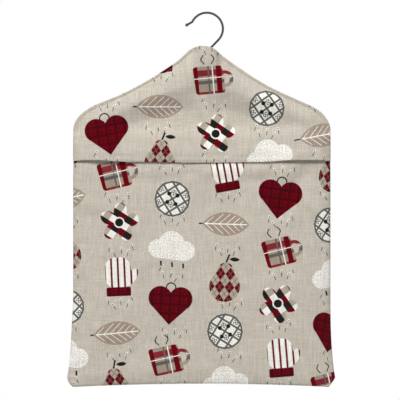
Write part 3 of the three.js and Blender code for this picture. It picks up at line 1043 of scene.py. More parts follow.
@dataclass(frozen=True)
class BagOutline:
    """The bag's outline seen from the front (angles in degrees).

    Its sewn lines are the same left and right. The cloth hangs a little unevenly on them.
    """

    middle_x: float = -0.005
    top_z: float = -0.03704
    height: float = 0.388
    half_width: float = 0.147
    base_flare: float = 0.0055
    base_rise: float = 0.0037
    flare_height: float = 0.098
    corner_cut_width: float = 0.0075
    corner_cut_height: float = 0.0105
    dome_flat: float = 0.013
    dome_round: float = 0.0106
    neck_half_width: float = 0.024
    neck_drop: float = 0.0118
    neck_slope: float = 36.5
    neck_run: float = 0.049
    shoulder_slope: float = 24.0
    shoulder_corner_width: float = 0.027
    shoulder_corner_fall: float = 0.0177
    slit_x: float = 0.005
    slit_half_width: float = 0.0079
    slit_blend: float = 0.008
    slit_dip: float = 0.0004
    # How the cloth is drawn in at its right side and spread at its lower left corner.
    right_draw: float = 0.0014
    draw_start: float = 0.126
    left_spread: float = 0.0014
    spread_reach: Pair = (0.280, 0.325)
    # How the shoulders' edges sink between the neck and the corners.
    left_sink: float = 0.0020
    left_sink_start: Pair = (0.012, 0.032)
    left_sink_end: Pair = (0.085, 0.118)
    right_sink: float = 0.0014
    right_sink_x: float = 0.072
    right_sink_width: float = 0.030
    sink_depth: float = 0.0095
    # How the lower corners turn: the left one by shares of its cut, the right one by a swelling.
    left_upper_pull: Pair = (-0.08, 0.50)
    left_lower_pull: Pair = (0.38, -0.04)
    right_swell: Pair = (0.0006, 0.0004)

    @cached_property
    def shoulder(self) -> Array:
        """The right shoulder's line, from the top point to the side seam.

        Returns:
            The line's points.
        """
        steep = math.radians(self.neck_slope)
        run = np.array([math.cos(steep), math.sin(steep)])
        neck = np.array([self.neck_half_width, self.neck_drop])
        arm = neck + run * self.neck_run
        fall = math.tan(math.radians(self.shoulder_slope))
        corner_x = self.half_width - self.shoulder_corner_width
        corner = (corner_x, arm[1] + (corner_x - arm[0]) * fall)
        pull = (self.half_width, corner[1] + self.shoulder_corner_width * fall)
        end = (self.half_width, pull[1] + self.shoulder_corner_fall)
        dome = curve([(0.0, 0.0), (self.dome_flat, 0.0), neck - run * self.dome_round, neck])
        return np.concatenate([dome, curve([neck, arm, corner])[1:], curve([corner, pull, end])[1:]])

    @cached_property
    def whole_shoulder(self) -> Array:
        """Both shoulders as one line from left to right."""
        return np.concatenate([self.shoulder[::-1] * MIRROR, self.shoulder[1:]])

    @property
    def side_drop(self) -> float:
        """Where the shoulder ends and the side begins."""
        return float(self.shoulder[-1, 1])

    @property
    def base_half_width(self) -> float:
        """Half the width at the lower corners."""
        return self.half_width + self.base_flare

    @cached_property
    def side(self) -> Array:
        """The right side's line, from the shoulder to the trimmed corner.

        Returns:
            The line's points.
        """
        flare = self.height - self.flare_height
        cut = self.height - self.corner_cut_height
        pull = (self.half_width, (flare + 2.0 * cut) / 3.0)
        flared = curve([(self.half_width, flare), pull, (self.base_half_width, cut)])
        return np.concatenate([[(self.half_width, self.side_drop)], flared])

    @cached_property
    def corner(self) -> Array:
        """The right lower corner's seam, straight from the side to the base."""
        side = (self.base_half_width, self.height - self.corner_cut_height)
        return np.array([side, (self.base_half_width - self.corner_cut_width, self.height)])

    @cached_property
    def base(self) -> Array:
        """The right half of the base, from the corner to the middle."""
        foot, rise = self.corner[1], self.height - self.base_rise
        return curve([foot, (foot[0] / 2.0, rise), (0.0, rise)])

    @cached_property
    def left_edge(self) -> Array:
        """The left half of the cloth's lower edge, mirrored, whose corner is turned out softly.

        Returns:
            The edge's points.
        """
        side, foot = self.corner
        cut = np.array([self.corner_cut_width, self.corner_cut_height])
        soft = curve([side, side + self.left_upper_pull * cut, foot + self.left_lower_pull * cut, foot])
        return np.concatenate([soft, self.base[1:]])

    @cached_property
    def right_edge(self) -> Array:
        """The right half of the cloth's lower edge, whose corner is cut off nearly straight."""
        side, foot = self.corner
        return np.concatenate([curve([side, (side + foot) / 2.0 + self.right_swell, foot]), self.base[1:]])

    def shoulder_drop(self, x: Array) -> Array:
        """Read the drop of the shoulder's line."""
        return np.interp(np.abs(x), self.shoulder[:, 0], self.shoulder[:, 1])

    def side_width(self, drop: Array) -> Array:
        """Read half the width at a drop."""
        return np.interp(drop, self.side[:, 1], self.side[:, 0])

    def base_drop(self, x: Array) -> Array:
        """Read the drop of the base."""
        edges = (edge[::-1].T for edge in (self.left_edge, self.right_edge))
        return np.where(x < 0.0, *(np.interp(np.abs(x), *edge) for edge in edges))

    def slit_share(self, x: Array) -> Array:
        """Give 1 at the unsewn slit for the hook and 0 where the shoulders are sewn."""
        away = np.abs(x - self.slit_x)
        return 1.0 - smooth(away, self.slit_half_width, self.slit_half_width + self.slit_blend)

    def sewn_start(self, sign: float) -> float:
        """Give where the sewn shoulder starts, out from the middle line, on the left (-1) or right (1)."""
        return self.slit_half_width + self.slit_blend + sign * self.slit_x

    def top_drop(self, x: Array) -> Array:
        """Read the drop of the cloth's upper edge."""
        return self.shoulder_drop(x) + self.slit_dip * self.slit_share(x)

    def side_shift(self, x: Array, drop: Array) -> Array:
        """Give how far the cloth is drawn in at its right side and spread at its lower left corner."""
        spread = np.clip(-x / self.half_width, 0.0, 1.0) * smooth(drop, *self.spread_reach)
        return -self.right_draw * smooth(x, self.draw_start, self.half_width) - self.left_spread * spread

    def shoulder_sink(self, x: Array, drop: Array) -> Array:
        """Give how far the shoulders' edges sink between the neck and the corners.

        Args:
            x: Places across.
            drop: Places down.

        Returns:
            The shifts down.
        """
        left = self.left_sink * smooth(-x, *self.left_sink_start) * (1.0 - smooth(-x, *self.left_sink_end))
        right = self.right_sink * bump(x - self.right_sink_x, self.right_sink_width)
        return (left + right) * (1.0 - smooth(drop - self.shoulder_drop(x), 0.0, self.sink_depth))

    def placed(self, x: Array, y: Array, drop: Array) -> Array:
        """Put places across, front to back and down the bag into the part's frame, as points."""
        across = x + self.side_shift(x, drop) + self.middle_x
        return np.stack([across, y, self.top_z - drop - self.shoulder_sink(x, drop)], axis=-1)


@dataclass(frozen=True)
class Fold:
    """A soft ridge, or a valley where its height is negative, between two places of the cloth."""

    start: Pair
    end: Pair
    width: float
    height: float

    def relief(self, x: Array, drop: Array) -> Array:
        """Give how far the fold lifts the cloth at places on it."""
        return self.height * bump(distance_to_line(x, drop, np.array([self.start, self.end])), self.width)


@dataclass(frozen=True)
class Drift:
    """The slow unevenness of hanging cloth: waves of two ranges of length, with seeded directions."""

    seed: int
    long_waves: Pair = (0.045, 0.12)
    long_count: int = 6
    short_waves: Pair = (0.012, 0.034)
    short_count: int = 14
    steepness: float = 0.0024

    def relief(self, x: Array, drop: Array) -> Array:
        """Give how far the waves lift the cloth.

        Args:
            x: Places across.
            drop: Places down.

        Returns:
            The relief, in metres.
        """
        draw = np.random.default_rng(self.seed)
        relief = np.zeros(np.shape(x))
        long_waves = draw.uniform(*self.long_waves, self.long_count)
        short_waves = draw.uniform(*self.short_waves, self.short_count)
        for wave in np.concatenate([long_waves, short_waves]):
            heading, phase = draw.uniform(0.0, FULL_TURN, 2)
            turn = (x * math.cos(heading) + drop * math.sin(heading)) * FULL_TURN / wave
            relief = relief + wave * np.sin(turn + phase)
        return self.steepness * relief


@dataclass
class ClothShape:
    """How far the cloth of the front and the back stands from the plane of the seams."""

    outline: BagOutline = field(default_factory=BagOutline)
    seam_half: float = 0.0003
    # The yoke's lower edge, and the pouch's lip behind it.
    mouth_drop: float = 0.1317
    lip_drop: float = 0.1117
    mouth_sag: float = 0.0009
    sag_width: float = 0.050
    mouth_draw: float = 0.0019
    left_drawn: Pair = (0.080, 0.128)
    right_drawn: Pair = (0.066, 0.104)
    mouth_fall: float = 0.0008
    fall_reach: Pair = (0.132, 0.147)
    # How full the panels are.
    hanger_depth: float = 0.0062
    slit_extra: float = 0.0022
    slit_fade: Pair = (0.015, 0.040)
    mouth_fullness: float = 0.0025
    mouth_recess: float = 0.0018
    pouch_fullness: float = 0.0012
    pouch_full_drop: float = 0.260
    back_fullness: float = 0.0022
    base_flatness: float = 0.0028
    flat_reach: Pair = (0.265, 0.385)
    # How the empty bag falls back under the hanger's arms, less towards their ends and at the back.
    hollow: float = 0.0066
    hollow_loss: float = 0.46
    hollow_loss_reach: Pair = (0.060, 0.120)
    back_hollow: float = 0.6
    crease_top: float = 0.034
    crease_fall: float = 0.046
    crease_reach: float = 0.035
    crease_half: float = 0.012
    crease_low: float = 0.074
    regained_drop: float = 0.128
    # How the yoke laps over the pouch, whose lip is tucked in behind it.
    lap: float = 0.0026
    lap_reach: Pair = (0.086, 0.121)
    lap_loss: float = 0.35
    lap_loss_reach: Pair = (0.119, 0.1315)
    lap_least: float = 0.0016
    lap_least_end: float = 0.6
    lap_blend: float = 0.0003
    hem_end: float = 0.5
    hem_end_width: float = 0.012
    lip_ease: float = 0.0013
    lip_ease_offsets: Pair = (-0.008, 0.014)
    tuck_in: float = 0.0012
    tuck_band: float = 0.020
    tuck_fade: float = 0.009
    relief_start: float = 0.012
    relief_full: float = 0.010
    # How the panels round off towards their seams.
    shoulder_round: float = 0.020
    hanger_end_round: float = 0.025
    left_round: float = 0.0095
    right_round: float = 0.0140
    side_roll: float = 0.55
    side_ease: float = 0.055
    base_edge: float = 0.0022
    base_ease: float = 0.018
    base_round: float = 0.0105
    # The roll of the turned-in edges along the shoulders, and the groove of their stitches.
    welt_width: float = 0.0040
    welt_edge: float = 0.0014
    welt_foot: float = 0.0008
    welt_roll: float = 0.0006
    welt_fade: float = 0.006
    welt_end: Pair = (0.090, 0.112)
    # Ripples along the seams: their radians to a metre, and those of their wandering.
    side_ripple: Pair = (830.0, 97.0)
    base_ripple: Pair = (760.0, 83.0)
    ripple_wander: float = 3.0
    ripple_depth: float = 0.00022
    ripple_inset: float = 0.006
    ripple_width: float = 0.006
    # The folds and the slow waves of each panel.
    yoke_drift: Drift = Drift(3)
    pouch_drift: Drift = Drift(5)
    back_drift: Drift = Drift(8)
    yoke_folds: tuple[Fold, ...] = (
        Fold((-0.140, 0.1295), (0.140, 0.1295), 0.0020, 0.0004),
        Fold((-0.142, 0.1283), (-0.112, 0.1283), 0.0050, 0.0008),
        Fold((-0.142, 0.1175), (-0.118, 0.1175), 0.0050, -0.0005),
        Fold((0.092, 0.1285), (0.143, 0.1285), 0.0055, 0.0008),
        Fold((0.096, 0.1170), (0.143, 0.1170), 0.0055, -0.0007),
        Fold((-0.020, 0.050), (0.012, 0.092), 0.010, 0.0009),
        Fold((0.024, 0.032), (0.124, 0.083), 0.009, 0.0009),
        Fold((-0.146, 0.112), (-0.105, 0.121), 0.008, 0.0008),
        Fold((0.146, 0.114), (0.100, 0.122), 0.008, 0.0007),
    )
    pouch_folds: tuple[Fold, ...] = (
        Fold((-0.128, 0.1420), (-0.030, 0.1432), 0.0075, 0.0006),
        Fold((0.006, 0.1430), (0.088, 0.1425), 0.0085, 0.0012),
        Fold((0.102, 0.136), (0.066, 0.180), 0.0085, 0.0013),
        Fold((0.117, 0.146), (0.088, 0.188), 0.0080, -0.0017),
        Fold((0.025, 0.153), (0.073, 0.151), 0.0070, -0.0009),
        Fold((-0.075, 0.156), (-0.035, 0.153), 0.0070, -0.0007),
        Fold((-0.146, 0.172), (-0.116, 0.184), 0.0060, 0.0009),
        Fold((-0.146, 0.187), (-0.120, 0.196), 0.0060, -0.0007),
        Fold((0.146, 0.196), (0.108, 0.171), 0.0075, 0.0010),
        Fold((-0.148, 0.360), (-0.100, 0.330), 0.0100, 0.0010),
        Fold((0.148, 0.358), (0.108, 0.322), 0.0100, 0.0009),
    )

    def inside_side(self, x: Array, drop: Array) -> Array:
        """Measure how far inside the side seam places lie."""
        return np.maximum(self.outline.side_width(drop) - np.abs(x), 0.0)

    def above_base(self, x: Array, drop: Array) -> Array:
        """Measure how far above the base seam places lie."""
        return np.maximum(self.outline.base_drop(x) - drop, 0.0)

    def from_end(self, x: Array, end: float) -> Array:
        """Go from a share at the ends of the mouth's hems to 1 a little inside them."""
        return mix(end, 1.0, smooth(self.outline.half_width - np.abs(x), 0.0, self.hem_end_width))

    def side_share(self, x: Array, drop: Array) -> Array:
        """Give the share of full depth that the side seam leaves.

        Args:
            x: Places across.
            drop: Places down.

        Returns:
            The shares.
        """
        inside = self.inside_side(x, drop)
        rolled = pipe(inside, np.where(x < 0.0, self.left_round, self.right_round))
        eased = mix(lens(inside, self.side_ease), rolled, self.side_roll)
        start = self.outline.side_drop
        sewn_flat = smooth(drop, start, start + self.hanger_end_round)
        return mix(pipe(inside, self.hanger_end_round), eased, sewn_flat)

    def top_share(self, x: Array, drop: Array) -> Array:
        """Give the share of full depth that the shoulder seam leaves.

        Args:
            x: Places across.
            drop: Places down.

        Returns:
            The shares.
        """
        away = distance_to_line(x, drop, self.outline.whole_shoulder)
        sewn = lens(np.maximum(away - self.welt_width, 0.0), self.shoulder_round)
        return mix(sewn, 1.0, self.outline.slit_share(x))

    def base_share(self, x: Array, drop: Array) -> Array:
        """Give the share of full depth that the base seam leaves in the front, pressed flat there."""
        above = self.above_base(x, drop)
        return (pipe(above, self.base_edge) + lens(above, self.base_ease)) / 2.0

    def over_hanger(self, x: Array, drop: Array) -> Array:
        """Give the depth of the cloth where it bends over the hanger and widens at the hook's slit."""
        slit = self.outline.slit_share(x) * (1.0 - smooth(drop, *self.slit_fade))
        return self.hanger_depth + self.slit_extra * slit

    def under_hanger(self, x: Array, drop: Array) -> Array:
        """Give how far the cloth falls back between the hanger's arms and the mouth.

        Args:
            x: Places across.
            drop: Places down.

        Returns:
            The depths to take off.
        """
        reach = np.abs(x)
        crease = self.crease_top + self.crease_fall * (1.0 - np.exp(-reach / self.crease_reach))
        trough = np.maximum(crease + self.crease_half, self.crease_low)
        deep = self.hollow * (1.0 - self.hollow_loss * smooth(reach, *self.hollow_loss_reach))
        fallen = slope(drop, crease - self.crease_half, trough)
        regained = (1.0 - self.mouth_recess / self.hollow) * slope(drop, trough, self.regained_drop)
        return deep * fallen * (1.0 - regained)

    def welt(self, x: Array, drop: Array) -> Array:
        """Give the roll of the turned-in edges along the shoulders and the groove of their stitches.

        Args:
            x: Places across.
            drop: Places down.

        Returns:
            The depths to add.
        """
        away = distance_to_line(x, drop, self.outline.whole_shoulder)
        sewn = (1.0 - self.outline.slit_share(x)) * (1.0 - smooth(drop, *self.welt_end))
        across = np.clip(away / self.welt_width, 0.0, 1.0)
        thick = mix(self.welt_edge, self.welt_foot, across) * pipe(away, self.welt_roll)
        return sewn * thick * (1.0 - smooth(away, self.welt_width, self.welt_width + self.welt_fade))

    def ripple(self, along: Array, inside: Array, rates: Pair) -> Array:
        """Give the fine ripples that one seam draws into the cloth beside it."""
        wave = np.sin(along * rates[0] + self.ripple_wander * np.sin(along * rates[1]))
        return self.ripple_depth * wave * bump(inside - self.ripple_inset, self.ripple_width)

    def pucker(self, x: Array, drop: Array) -> Array:
        """Give the ripples along the sides and the base."""
        along_side = self.ripple(drop, self.inside_side(x, drop), self.side_ripple)
        return along_side + self.ripple(x, self.above_base(x, drop), self.base_ripple)

    def lap_depth(self, x: Array, drop: Array) -> Array:
        """Give the room that the pouch's lip and the hem take up behind the yoke."""
        level = smooth(drop, *self.lap_reach) * (1.0 - self.lap_loss * smooth(drop, *self.lap_loss_reach))
        return self.lap * level * self.from_end(x, self.hem_end)

    def mouth_line(self, x: Array) -> Array:
        """Read the drop of the yoke's lower edge, which sags in the middle and is drawn up near its ends.

        Args:
            x: Places across.

        Returns:
            The drops.
        """
        sag = self.mouth_sag * bump(x, self.sag_width)
        ends = smooth(-x, *self.left_drawn) + smooth(x, *self.right_drawn)
        fall = self.mouth_fall * smooth(np.abs(x), *self.fall_reach)
        return self.mouth_drop + sag - self.mouth_draw * ends + fall

    def tuck(self, x: Array, drop: Array) -> Array:
        """Give how far in the pouch's sides are shifted, where the pouch is tucked behind the yoke."""
        shift = np.sign(x) * (1.0 - smooth(self.outline.half_width - np.abs(x), 0.0, self.tuck_band))
        return self.tuck_in * shift * (1.0 - smooth(drop - self.mouth_drop, 0.0, self.tuck_fade))

    def yoke(self, x: Array, drop: Array) -> Array:
        """Give the depth of the yoke's cloth, which laps over the pouch.

        Args:
            x: Places across.
            drop: Places down.

        Returns:
            The depths.
        """
        full = self.over_hanger(x, drop) - self.under_hanger(x, drop)
        full = full + self.mouth_fullness * smooth(drop, self.outline.neck_drop, self.lip_drop)
        relief = self.yoke_drift.relief(x, drop) + sum(fold.relief(x, drop) for fold in self.yoke_folds)
        share = self.side_share(x, drop) * self.top_share(x, drop)
        depth = self.seam_half + (full + relief) * share + self.lap_depth(x, drop) + self.welt(x, drop)
        short = self.pouch(x, drop) + self.lap_least * self.from_end(x, self.lap_least_end) - depth
        lift = (short + np.sqrt(short * short + self.lap_blend ** 2)) / 2.0
        return depth + lift * smooth(drop, self.lip_drop - self.shoulder_round, self.lip_drop)

    def pouch(self, x: Array, drop: Array) -> Array:
        """Give the depth of the pouch's front.

        Args:
            x: Places across.
            drop: Places down.

        Returns:
            The depths.
        """
        start, end = (self.lip_drop + offset for offset in self.lip_ease_offsets)
        full = self.hanger_depth + self.mouth_fullness - self.mouth_recess
        full = full - self.lip_ease * (1.0 - smooth(drop, start, end))
        full = full + self.pouch_fullness * smooth(drop, self.mouth_drop, self.pouch_full_drop)
        full = full - self.base_flatness * smooth(drop, *self.flat_reach)
        share = self.side_share(x, drop) * self.base_share(x, drop)
        relief = self.pouch_drift.relief(x, drop) + sum(fold.relief(x, drop) for fold in self.pouch_folds)
        shown = smooth(drop, self.lip_drop + self.relief_start, self.mouth_drop + self.relief_full)
        return self.seam_half + full * share + relief * shown * np.sqrt(share) + self.pucker(x, drop)

    def back(self, x: Array, drop: Array) -> Array:
        """Give the depth of the back panel.

        Args:
            x: Places across.
            drop: Places down.

        Returns:
            The depths.
        """
        full = self.over_hanger(x, drop) - self.back_hollow * self.under_hanger(x, drop)
        full = full + self.back_fullness * smooth(drop, self.outline.neck_drop, self.lip_drop)
        rounded = pipe(self.above_base(x, drop), self.base_round)
        share = self.side_share(x, drop) * self.top_share(x, drop) * rounded
        relief = self.back_drift.relief(x, drop) * np.sqrt(share)
        return self.seam_half + full * share + self.welt(x, drop) + relief + self.pucker(x, drop)


@dataclass
class ClothPanel:
    """One cut of cloth as a dense sheet with a right side and a reverse."""

    name: str
    replaced: tuple[str, ...]
    points: Array
    cut: Array
    thickness: float = 0.0006

    def build(self, right_side: Material, reverse: Material) -> Object:
        """Make the sheet, give it its thickness and the map of its cut, let it stand for its solids and log
        the cut's size.

        Args:
            right_side: The finish that shows outside.
            reverse: The finish of the inside.

        Returns:
            The sheet.
        """
        faces = grid_faces(*self.points.shape[:2])
        piece = add_object(self.name, self.points, faces, [right_side, reverse])
        layer = piece.data.uv_layers.new(name=CUT_MAP)
        layer.data.foreach_set("uv", self.cut.reshape(-1, 2)[faces.ravel()].astype(np.float32).ravel())
        body = piece.modifiers.new("cloth_thickness", "SOLIDIFY")
        body.thickness = self.thickness
        body.offset = 0.0
        body.material_offset = 1
        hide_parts(*self.replaced)
        wide, tall = (float(size) for size in np.ptp(self.cut.reshape(-1, 2), axis=0))
        area = min(self.flat_area(), wide * tall)
        LOG.info("%s: cut %.3f by %.3f m, %.4f square metres", self.name, wide, tall, area)
        return piece

    def flat_area(self) -> float:
        """Measure the area of the cut, in square metres.

        Returns:
            The area.
        """
        start = self.points[:-1, :-1]
        across, down = self.points[:-1, 1:] - start, self.points[1:, :-1] - start
        return float(np.linalg.norm(np.cross(across, down), axis=-1).sum())


@dataclass
class FlapMotion:
    """How the yoke follows the lifted flap: fully at the middle of its edge, not at all at the sides."""

    shape: ClothShape
    fold_drop: float = 0.086
    full_drop: float = 0.114
    full_half_width: float = 0.062

    def share(self, x: Array, drop: Array) -> Array:
        """Give the share of the flap's turn that a place of the cloth takes."""
        across = 1.0 - smooth(np.abs(x), self.full_half_width, self.shape.outline.half_width)
        return smooth(drop, self.fold_drop, self.full_drop) * across

    def follow(self, piece: Object, x: Array, drop: Array) -> None:
        """Blend a piece of the yoke between the bag and the flap.

        Args:
            piece: The piece.
            x: Places across of its points.
            drop: Places down of them.
        """
        outline = self.shape.outline
        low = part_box("yoke_flap")[0]
        start = (outline.middle_x, low.y, outline.top_z - self.fold_drop)
        end = (outline.middle_x, low.y, outline.top_z - self.full_drop)
        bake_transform(piece, "bag", "flap", start=start, end=end)
        weights = self.share(np.ravel(x), np.ravel(drop)).astype(np.float32)
        piece.data.attributes["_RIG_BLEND"].data.foreach_set("value", weights)


@dataclass
class Stitches:
    """A row of sewn stitches: short rounded lengths of thread that lie on the cloth."""

    length: float = 0.0026
    gap: float = 0.0011
    radius: float = 0.0002
    lie: float = 0.55
    taper: int = 3
    end_girth: float = 0.02
    rings: int = 5
    sides: int = 6

    def along(self, line: Array, outward: Array) -> Array:
        """Lay stitches along a line.

        Args:
            line: The line's points, one to a row.
            outward: The way out of the cloth at each of them.

        Returns:
            The stitches' points, by stitch, ring and side.
        """
        run = run_along(line)
        starts = np.arange(self.gap, run[-1] - self.length, self.length + self.gap)
        share = np.linspace(-1.0, 1.0, self.rings + 2)
        at = starts[:, None] + self.length * (share[None, :] + 1.0) / 2.0
        middle, out = read_along(at, run, line), read_along(at, run, outward)
        side = np.cross(unit(middle[:, -1:] - middle[:, :1]), out)
        girth = self.radius * np.maximum(np.sqrt(1.0 - np.abs(share) ** self.taper), self.end_girth)
        turn = np.linspace(0.0, FULL_TURN, self.sides, endpoint=False)
        spoke = np.cos(turn)[:, None] * side[:, :, None, :] + np.sin(turn)[:, None] * out[:, :, None, :]
        lifted = middle + out * (self.radius * self.lie)
        return lifted[:, :, None, :] + spoke * girth[None, :, None, None]

    def build(self, name: str, rows: Sequence[Array], thread: Material) -> Object:
        """Make one piece of several rows of stitches.

        Args:
            name: The piece's name.
            rows: The points of each row, as along gives them.
            thread: The thread's finish.

        Returns:
            The piece.
        """
        points = np.concatenate(rows)
        count, rings, sides = points.shape[:3]
        one = bar_faces(rings, sides)
        faces = [face for stitch in range(count) for face in renumbered(one, stitch * rings * sides)]
        piece = add_object(name, points, faces, [thread])
        return piece


@dataclass
class Bag:
    """The sewn cloth bag: back, pouch and yoke with their stitches."""

    shape: ClothShape
    flap: FlapMotion
    right_side: Material
    reverse: Material
    thread: Material
    columns: int = 151
    column_crowd: float = 0.85
    back_rows: int = 190
    pouch_rows: int = 140
    long_crowd: float = 0.55
    yoke_rows: int = 90
    yoke_crowd: float = 0.6
    # Where each panel is cut from the print.
    yoke_cut: Pair = (0.018, 0.0072)
    pouch_cut: Pair = (0.004, -0.011)
    back_cut: Pair = (0.031, 0.013)
    # The hems of the pouch's lip and the yoke's lower edge: a turn is the radius of their fold.
    hem_width: float = 0.012
    hem_rows: int = 8
    fold_rows: int = 7
    lip_turn: float = 0.0007
    yoke_turn: float = 0.00032
    # The stitches of both hems.
    hem_stitch_half: float = 0.138
    hem_stitch_points: int = 400
    hem_stitch_inset: float = 0.0012
    hem_stitch_behind: float = 0.00124
    catch_radius: float = 0.00014
    lip_stitch_inset: float = 0.0014
    probe: float = 0.0004

    def build(self) -> None:
        """Make all the cloth and sew it."""
        self.build_back()
        self.build_pouch()
        self.build_yoke()
        self.sew_shoulders()
        self.sew_hems()

    @cached_property
    def shares(self) -> Array:
        """Shares of the half width, from left to right, at which the panels have their columns."""
        return crowded(self.columns, self.column_crowd)

    @cached_property
    def fold_angles(self) -> Array:
        """Angles round the fold of a hem, one to a row."""
        return np.linspace(0.0, math.pi, self.fold_rows + 2)[1:-1, None]

    @staticmethod
    def joined_strips(*strips: tuple[Array, ...]) -> list[Array]:
        """Join strips of a panel: places across, places down, depths and places along the cut."""
        return [np.concatenate(parts) for parts in zip(*(np.broadcast_arrays(*strip) for strip in strips))]

    def build_back(self) -> None:
        """Make the back panel."""
        outline = self.shape.outline
        share = self.shares[::-1]
        base = outline.base_drop(share * outline.base_half_width)
        drop = between(outline.top_drop(share * outline.half_width), base, self.back_rows, self.long_crowd)
        x = share[None, :] * outline.side_width(drop)
        points = outline.placed(x, self.shape.back(x, drop), drop)
        cut = np.stack([-x, -drop], axis=-1) + self.back_cut
        panel = ClothPanel("back_cloth", ("back_panel",), points, cut)
        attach(panel.build(self.right_side, self.reverse), "bag")

    def build_pouch(self) -> None:
        """Make the pouch's front, with the hem of its lip turned inside."""
        shape, outline = self.shape, self.shape.outline
        lip, turn, angle = shape.lip_drop, self.lip_turn, self.fold_angles
        x_line = self.shares * outline.half_width
        base = outline.base_drop(self.shares * outline.base_half_width)
        drop = between(np.full_like(x_line, lip + turn), base, self.pouch_rows, self.long_crowd)
        x = self.shares[None, :] * outline.side_width(drop)
        depth = shape.pouch(x, drop)
        inner = 2.0 * turn * shape.from_end(x_line, shape.hem_end)
        hem = lip + np.linspace(self.hem_width, turn, self.hem_rows)[:, None]
        hem_x, hem = np.broadcast_arrays(x_line, hem)
        x, drop, depth, along = self.joined_strips(
            (hem_x, hem, shape.pouch(hem_x, hem) - inner, 2.0 * lip - hem),
            (x_line, lip + turn * (1.0 - np.sin(angle)), depth[:1] - inner * (1.0 + np.cos(angle)) / 2.0,
             lip + turn * (angle / math.pi - 0.5)),
            (x, drop, depth, drop),
        )
        points = outline.placed(x - shape.tuck(x, drop), -depth, drop)
        cut = np.stack([x, -along], axis=-1) + self.pouch_cut
        panel = ClothPanel("pouch_cloth", ("pouch_front", "pouch_hem"), points, cut)
        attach(panel.build(self.right_side, self.reverse), "bag")

    def build_yoke(self) -> None:
        """Make the yoke, with the hem of its lower edge turned behind it."""
        shape, outline = self.shape, self.shape.outline
        turn, angle = self.yoke_turn, self.fold_angles
        x_line = self.shares * outline.half_width
        low = shape.mouth_line(x_line) - turn
        drop = between(outline.top_drop(x_line), low, self.yoke_rows, self.yoke_crowd)
        x = np.broadcast_to(x_line, drop.shape)
        depth = shape.yoke(x, drop)
        inner = turn * shape.from_end(x_line, shape.hem_end)
        hem = low - np.linspace(0.0, self.hem_width - turn, self.hem_rows)[:, None]
        hem_x = np.broadcast_to(x_line, hem.shape)
        x, drop, depth, along = self.joined_strips(
            (x, drop, depth, drop),
            (x_line, low + turn * np.sin(angle), depth[-1:] - inner * (1.0 - np.cos(angle)),
             low + turn * angle),
            (hem_x, hem, shape.yoke(hem_x, hem) - 2.0 * inner, 2.0 * low + math.pi * turn - hem),
        )
        points = outline.placed(x, -depth, drop)
        cut = np.stack([x, -along], axis=-1) + self.yoke_cut
        panel = ClothPanel("yoke_cloth", ("yoke", "yoke_flap", "yoke_hem"), points, cut)
        self.flap.follow(panel.build(self.right_side, self.reverse), x, drop)

    def surface_row(self, x: Array, drop: Array, depth: Depth, sign: float = -1.0) -> tuple[Array, Array]:
        """Read a line of points on the cloth and the ways out of it.

        Args:
            x: Places across along the line.
            drop: Places down along the line.
            depth: How deep the cloth is.
            sign: -1 on the front and 1 on the back.

        Returns:
            The points and the ways out, one to a row.
        """
        step = self.probe
        slope_x = (depth(x + step, drop) - depth(x - step, drop)) / (2.0 * step)
        slope_drop = (depth(x, drop + step) - depth(x, drop - step)) / (2.0 * step)
        out = unit(np.stack([-slope_x, np.full_like(x, sign), slope_drop], axis=-1))
        surface = sign * (depth(x, drop) + ClothPanel.thickness / 2.0)
        return self.shape.outline.placed(x, surface, drop), out

    def hem_reverse(self, x: Array, drop: Array) -> Array:
        """Give the depth of the inner face of the yoke's hem."""
        return self.shape.yoke(x, drop) - self.hem_stitch_behind

    def sew_shoulders(self) -> None:
        """Sew the shoulders' welts, through the front and the back."""
        shape, outline = self.shape, self.shape.outline
        stitches = Stitches()
        inset = outline.shoulder + inward_ways(outline.shoulder) * shape.welt_width
        rows = []
        for side in (-1.0, 1.0):
            x, drop = inset[inset[:, 0] > outline.sewn_start(side)].T
            for depth, sign in ((shape.yoke, -1.0), (shape.back, 1.0)):
                rows.append(stitches.along(*self.surface_row(side * x, drop, depth, sign)))
        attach(stitches.build("shoulder_stitches", rows, self.thread), "bag")

    def sew_hems(self) -> None:
        """Sew the yoke's hem from behind and the hem of the pouch's lip."""
        shape, outline = self.shape, self.shape.outline
        x = np.linspace(-self.hem_stitch_half, self.hem_stitch_half, self.hem_stitch_points)
        catch = Stitches(radius=self.catch_radius)
        drop = shape.mouth_line(x) - self.hem_width + self.hem_stitch_inset
        points, out = self.surface_row(x, drop, self.hem_reverse)
        row = catch.along(points, -out)
        piece = catch.build("hem_stitches", [row], self.thread)
        self.flap.follow(piece, row[..., 0] - outline.middle_x, outline.top_z - row[..., 2])
        stitches = Stitches()
        drop = np.full_like(x, shape.lip_drop + self.hem_width - self.lip_stitch_inset)
        row = stitches.along(*self.surface_row(x, drop, shape.pouch))
        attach(stitches.build("lip_stitches", [row], self.thread), "bag")


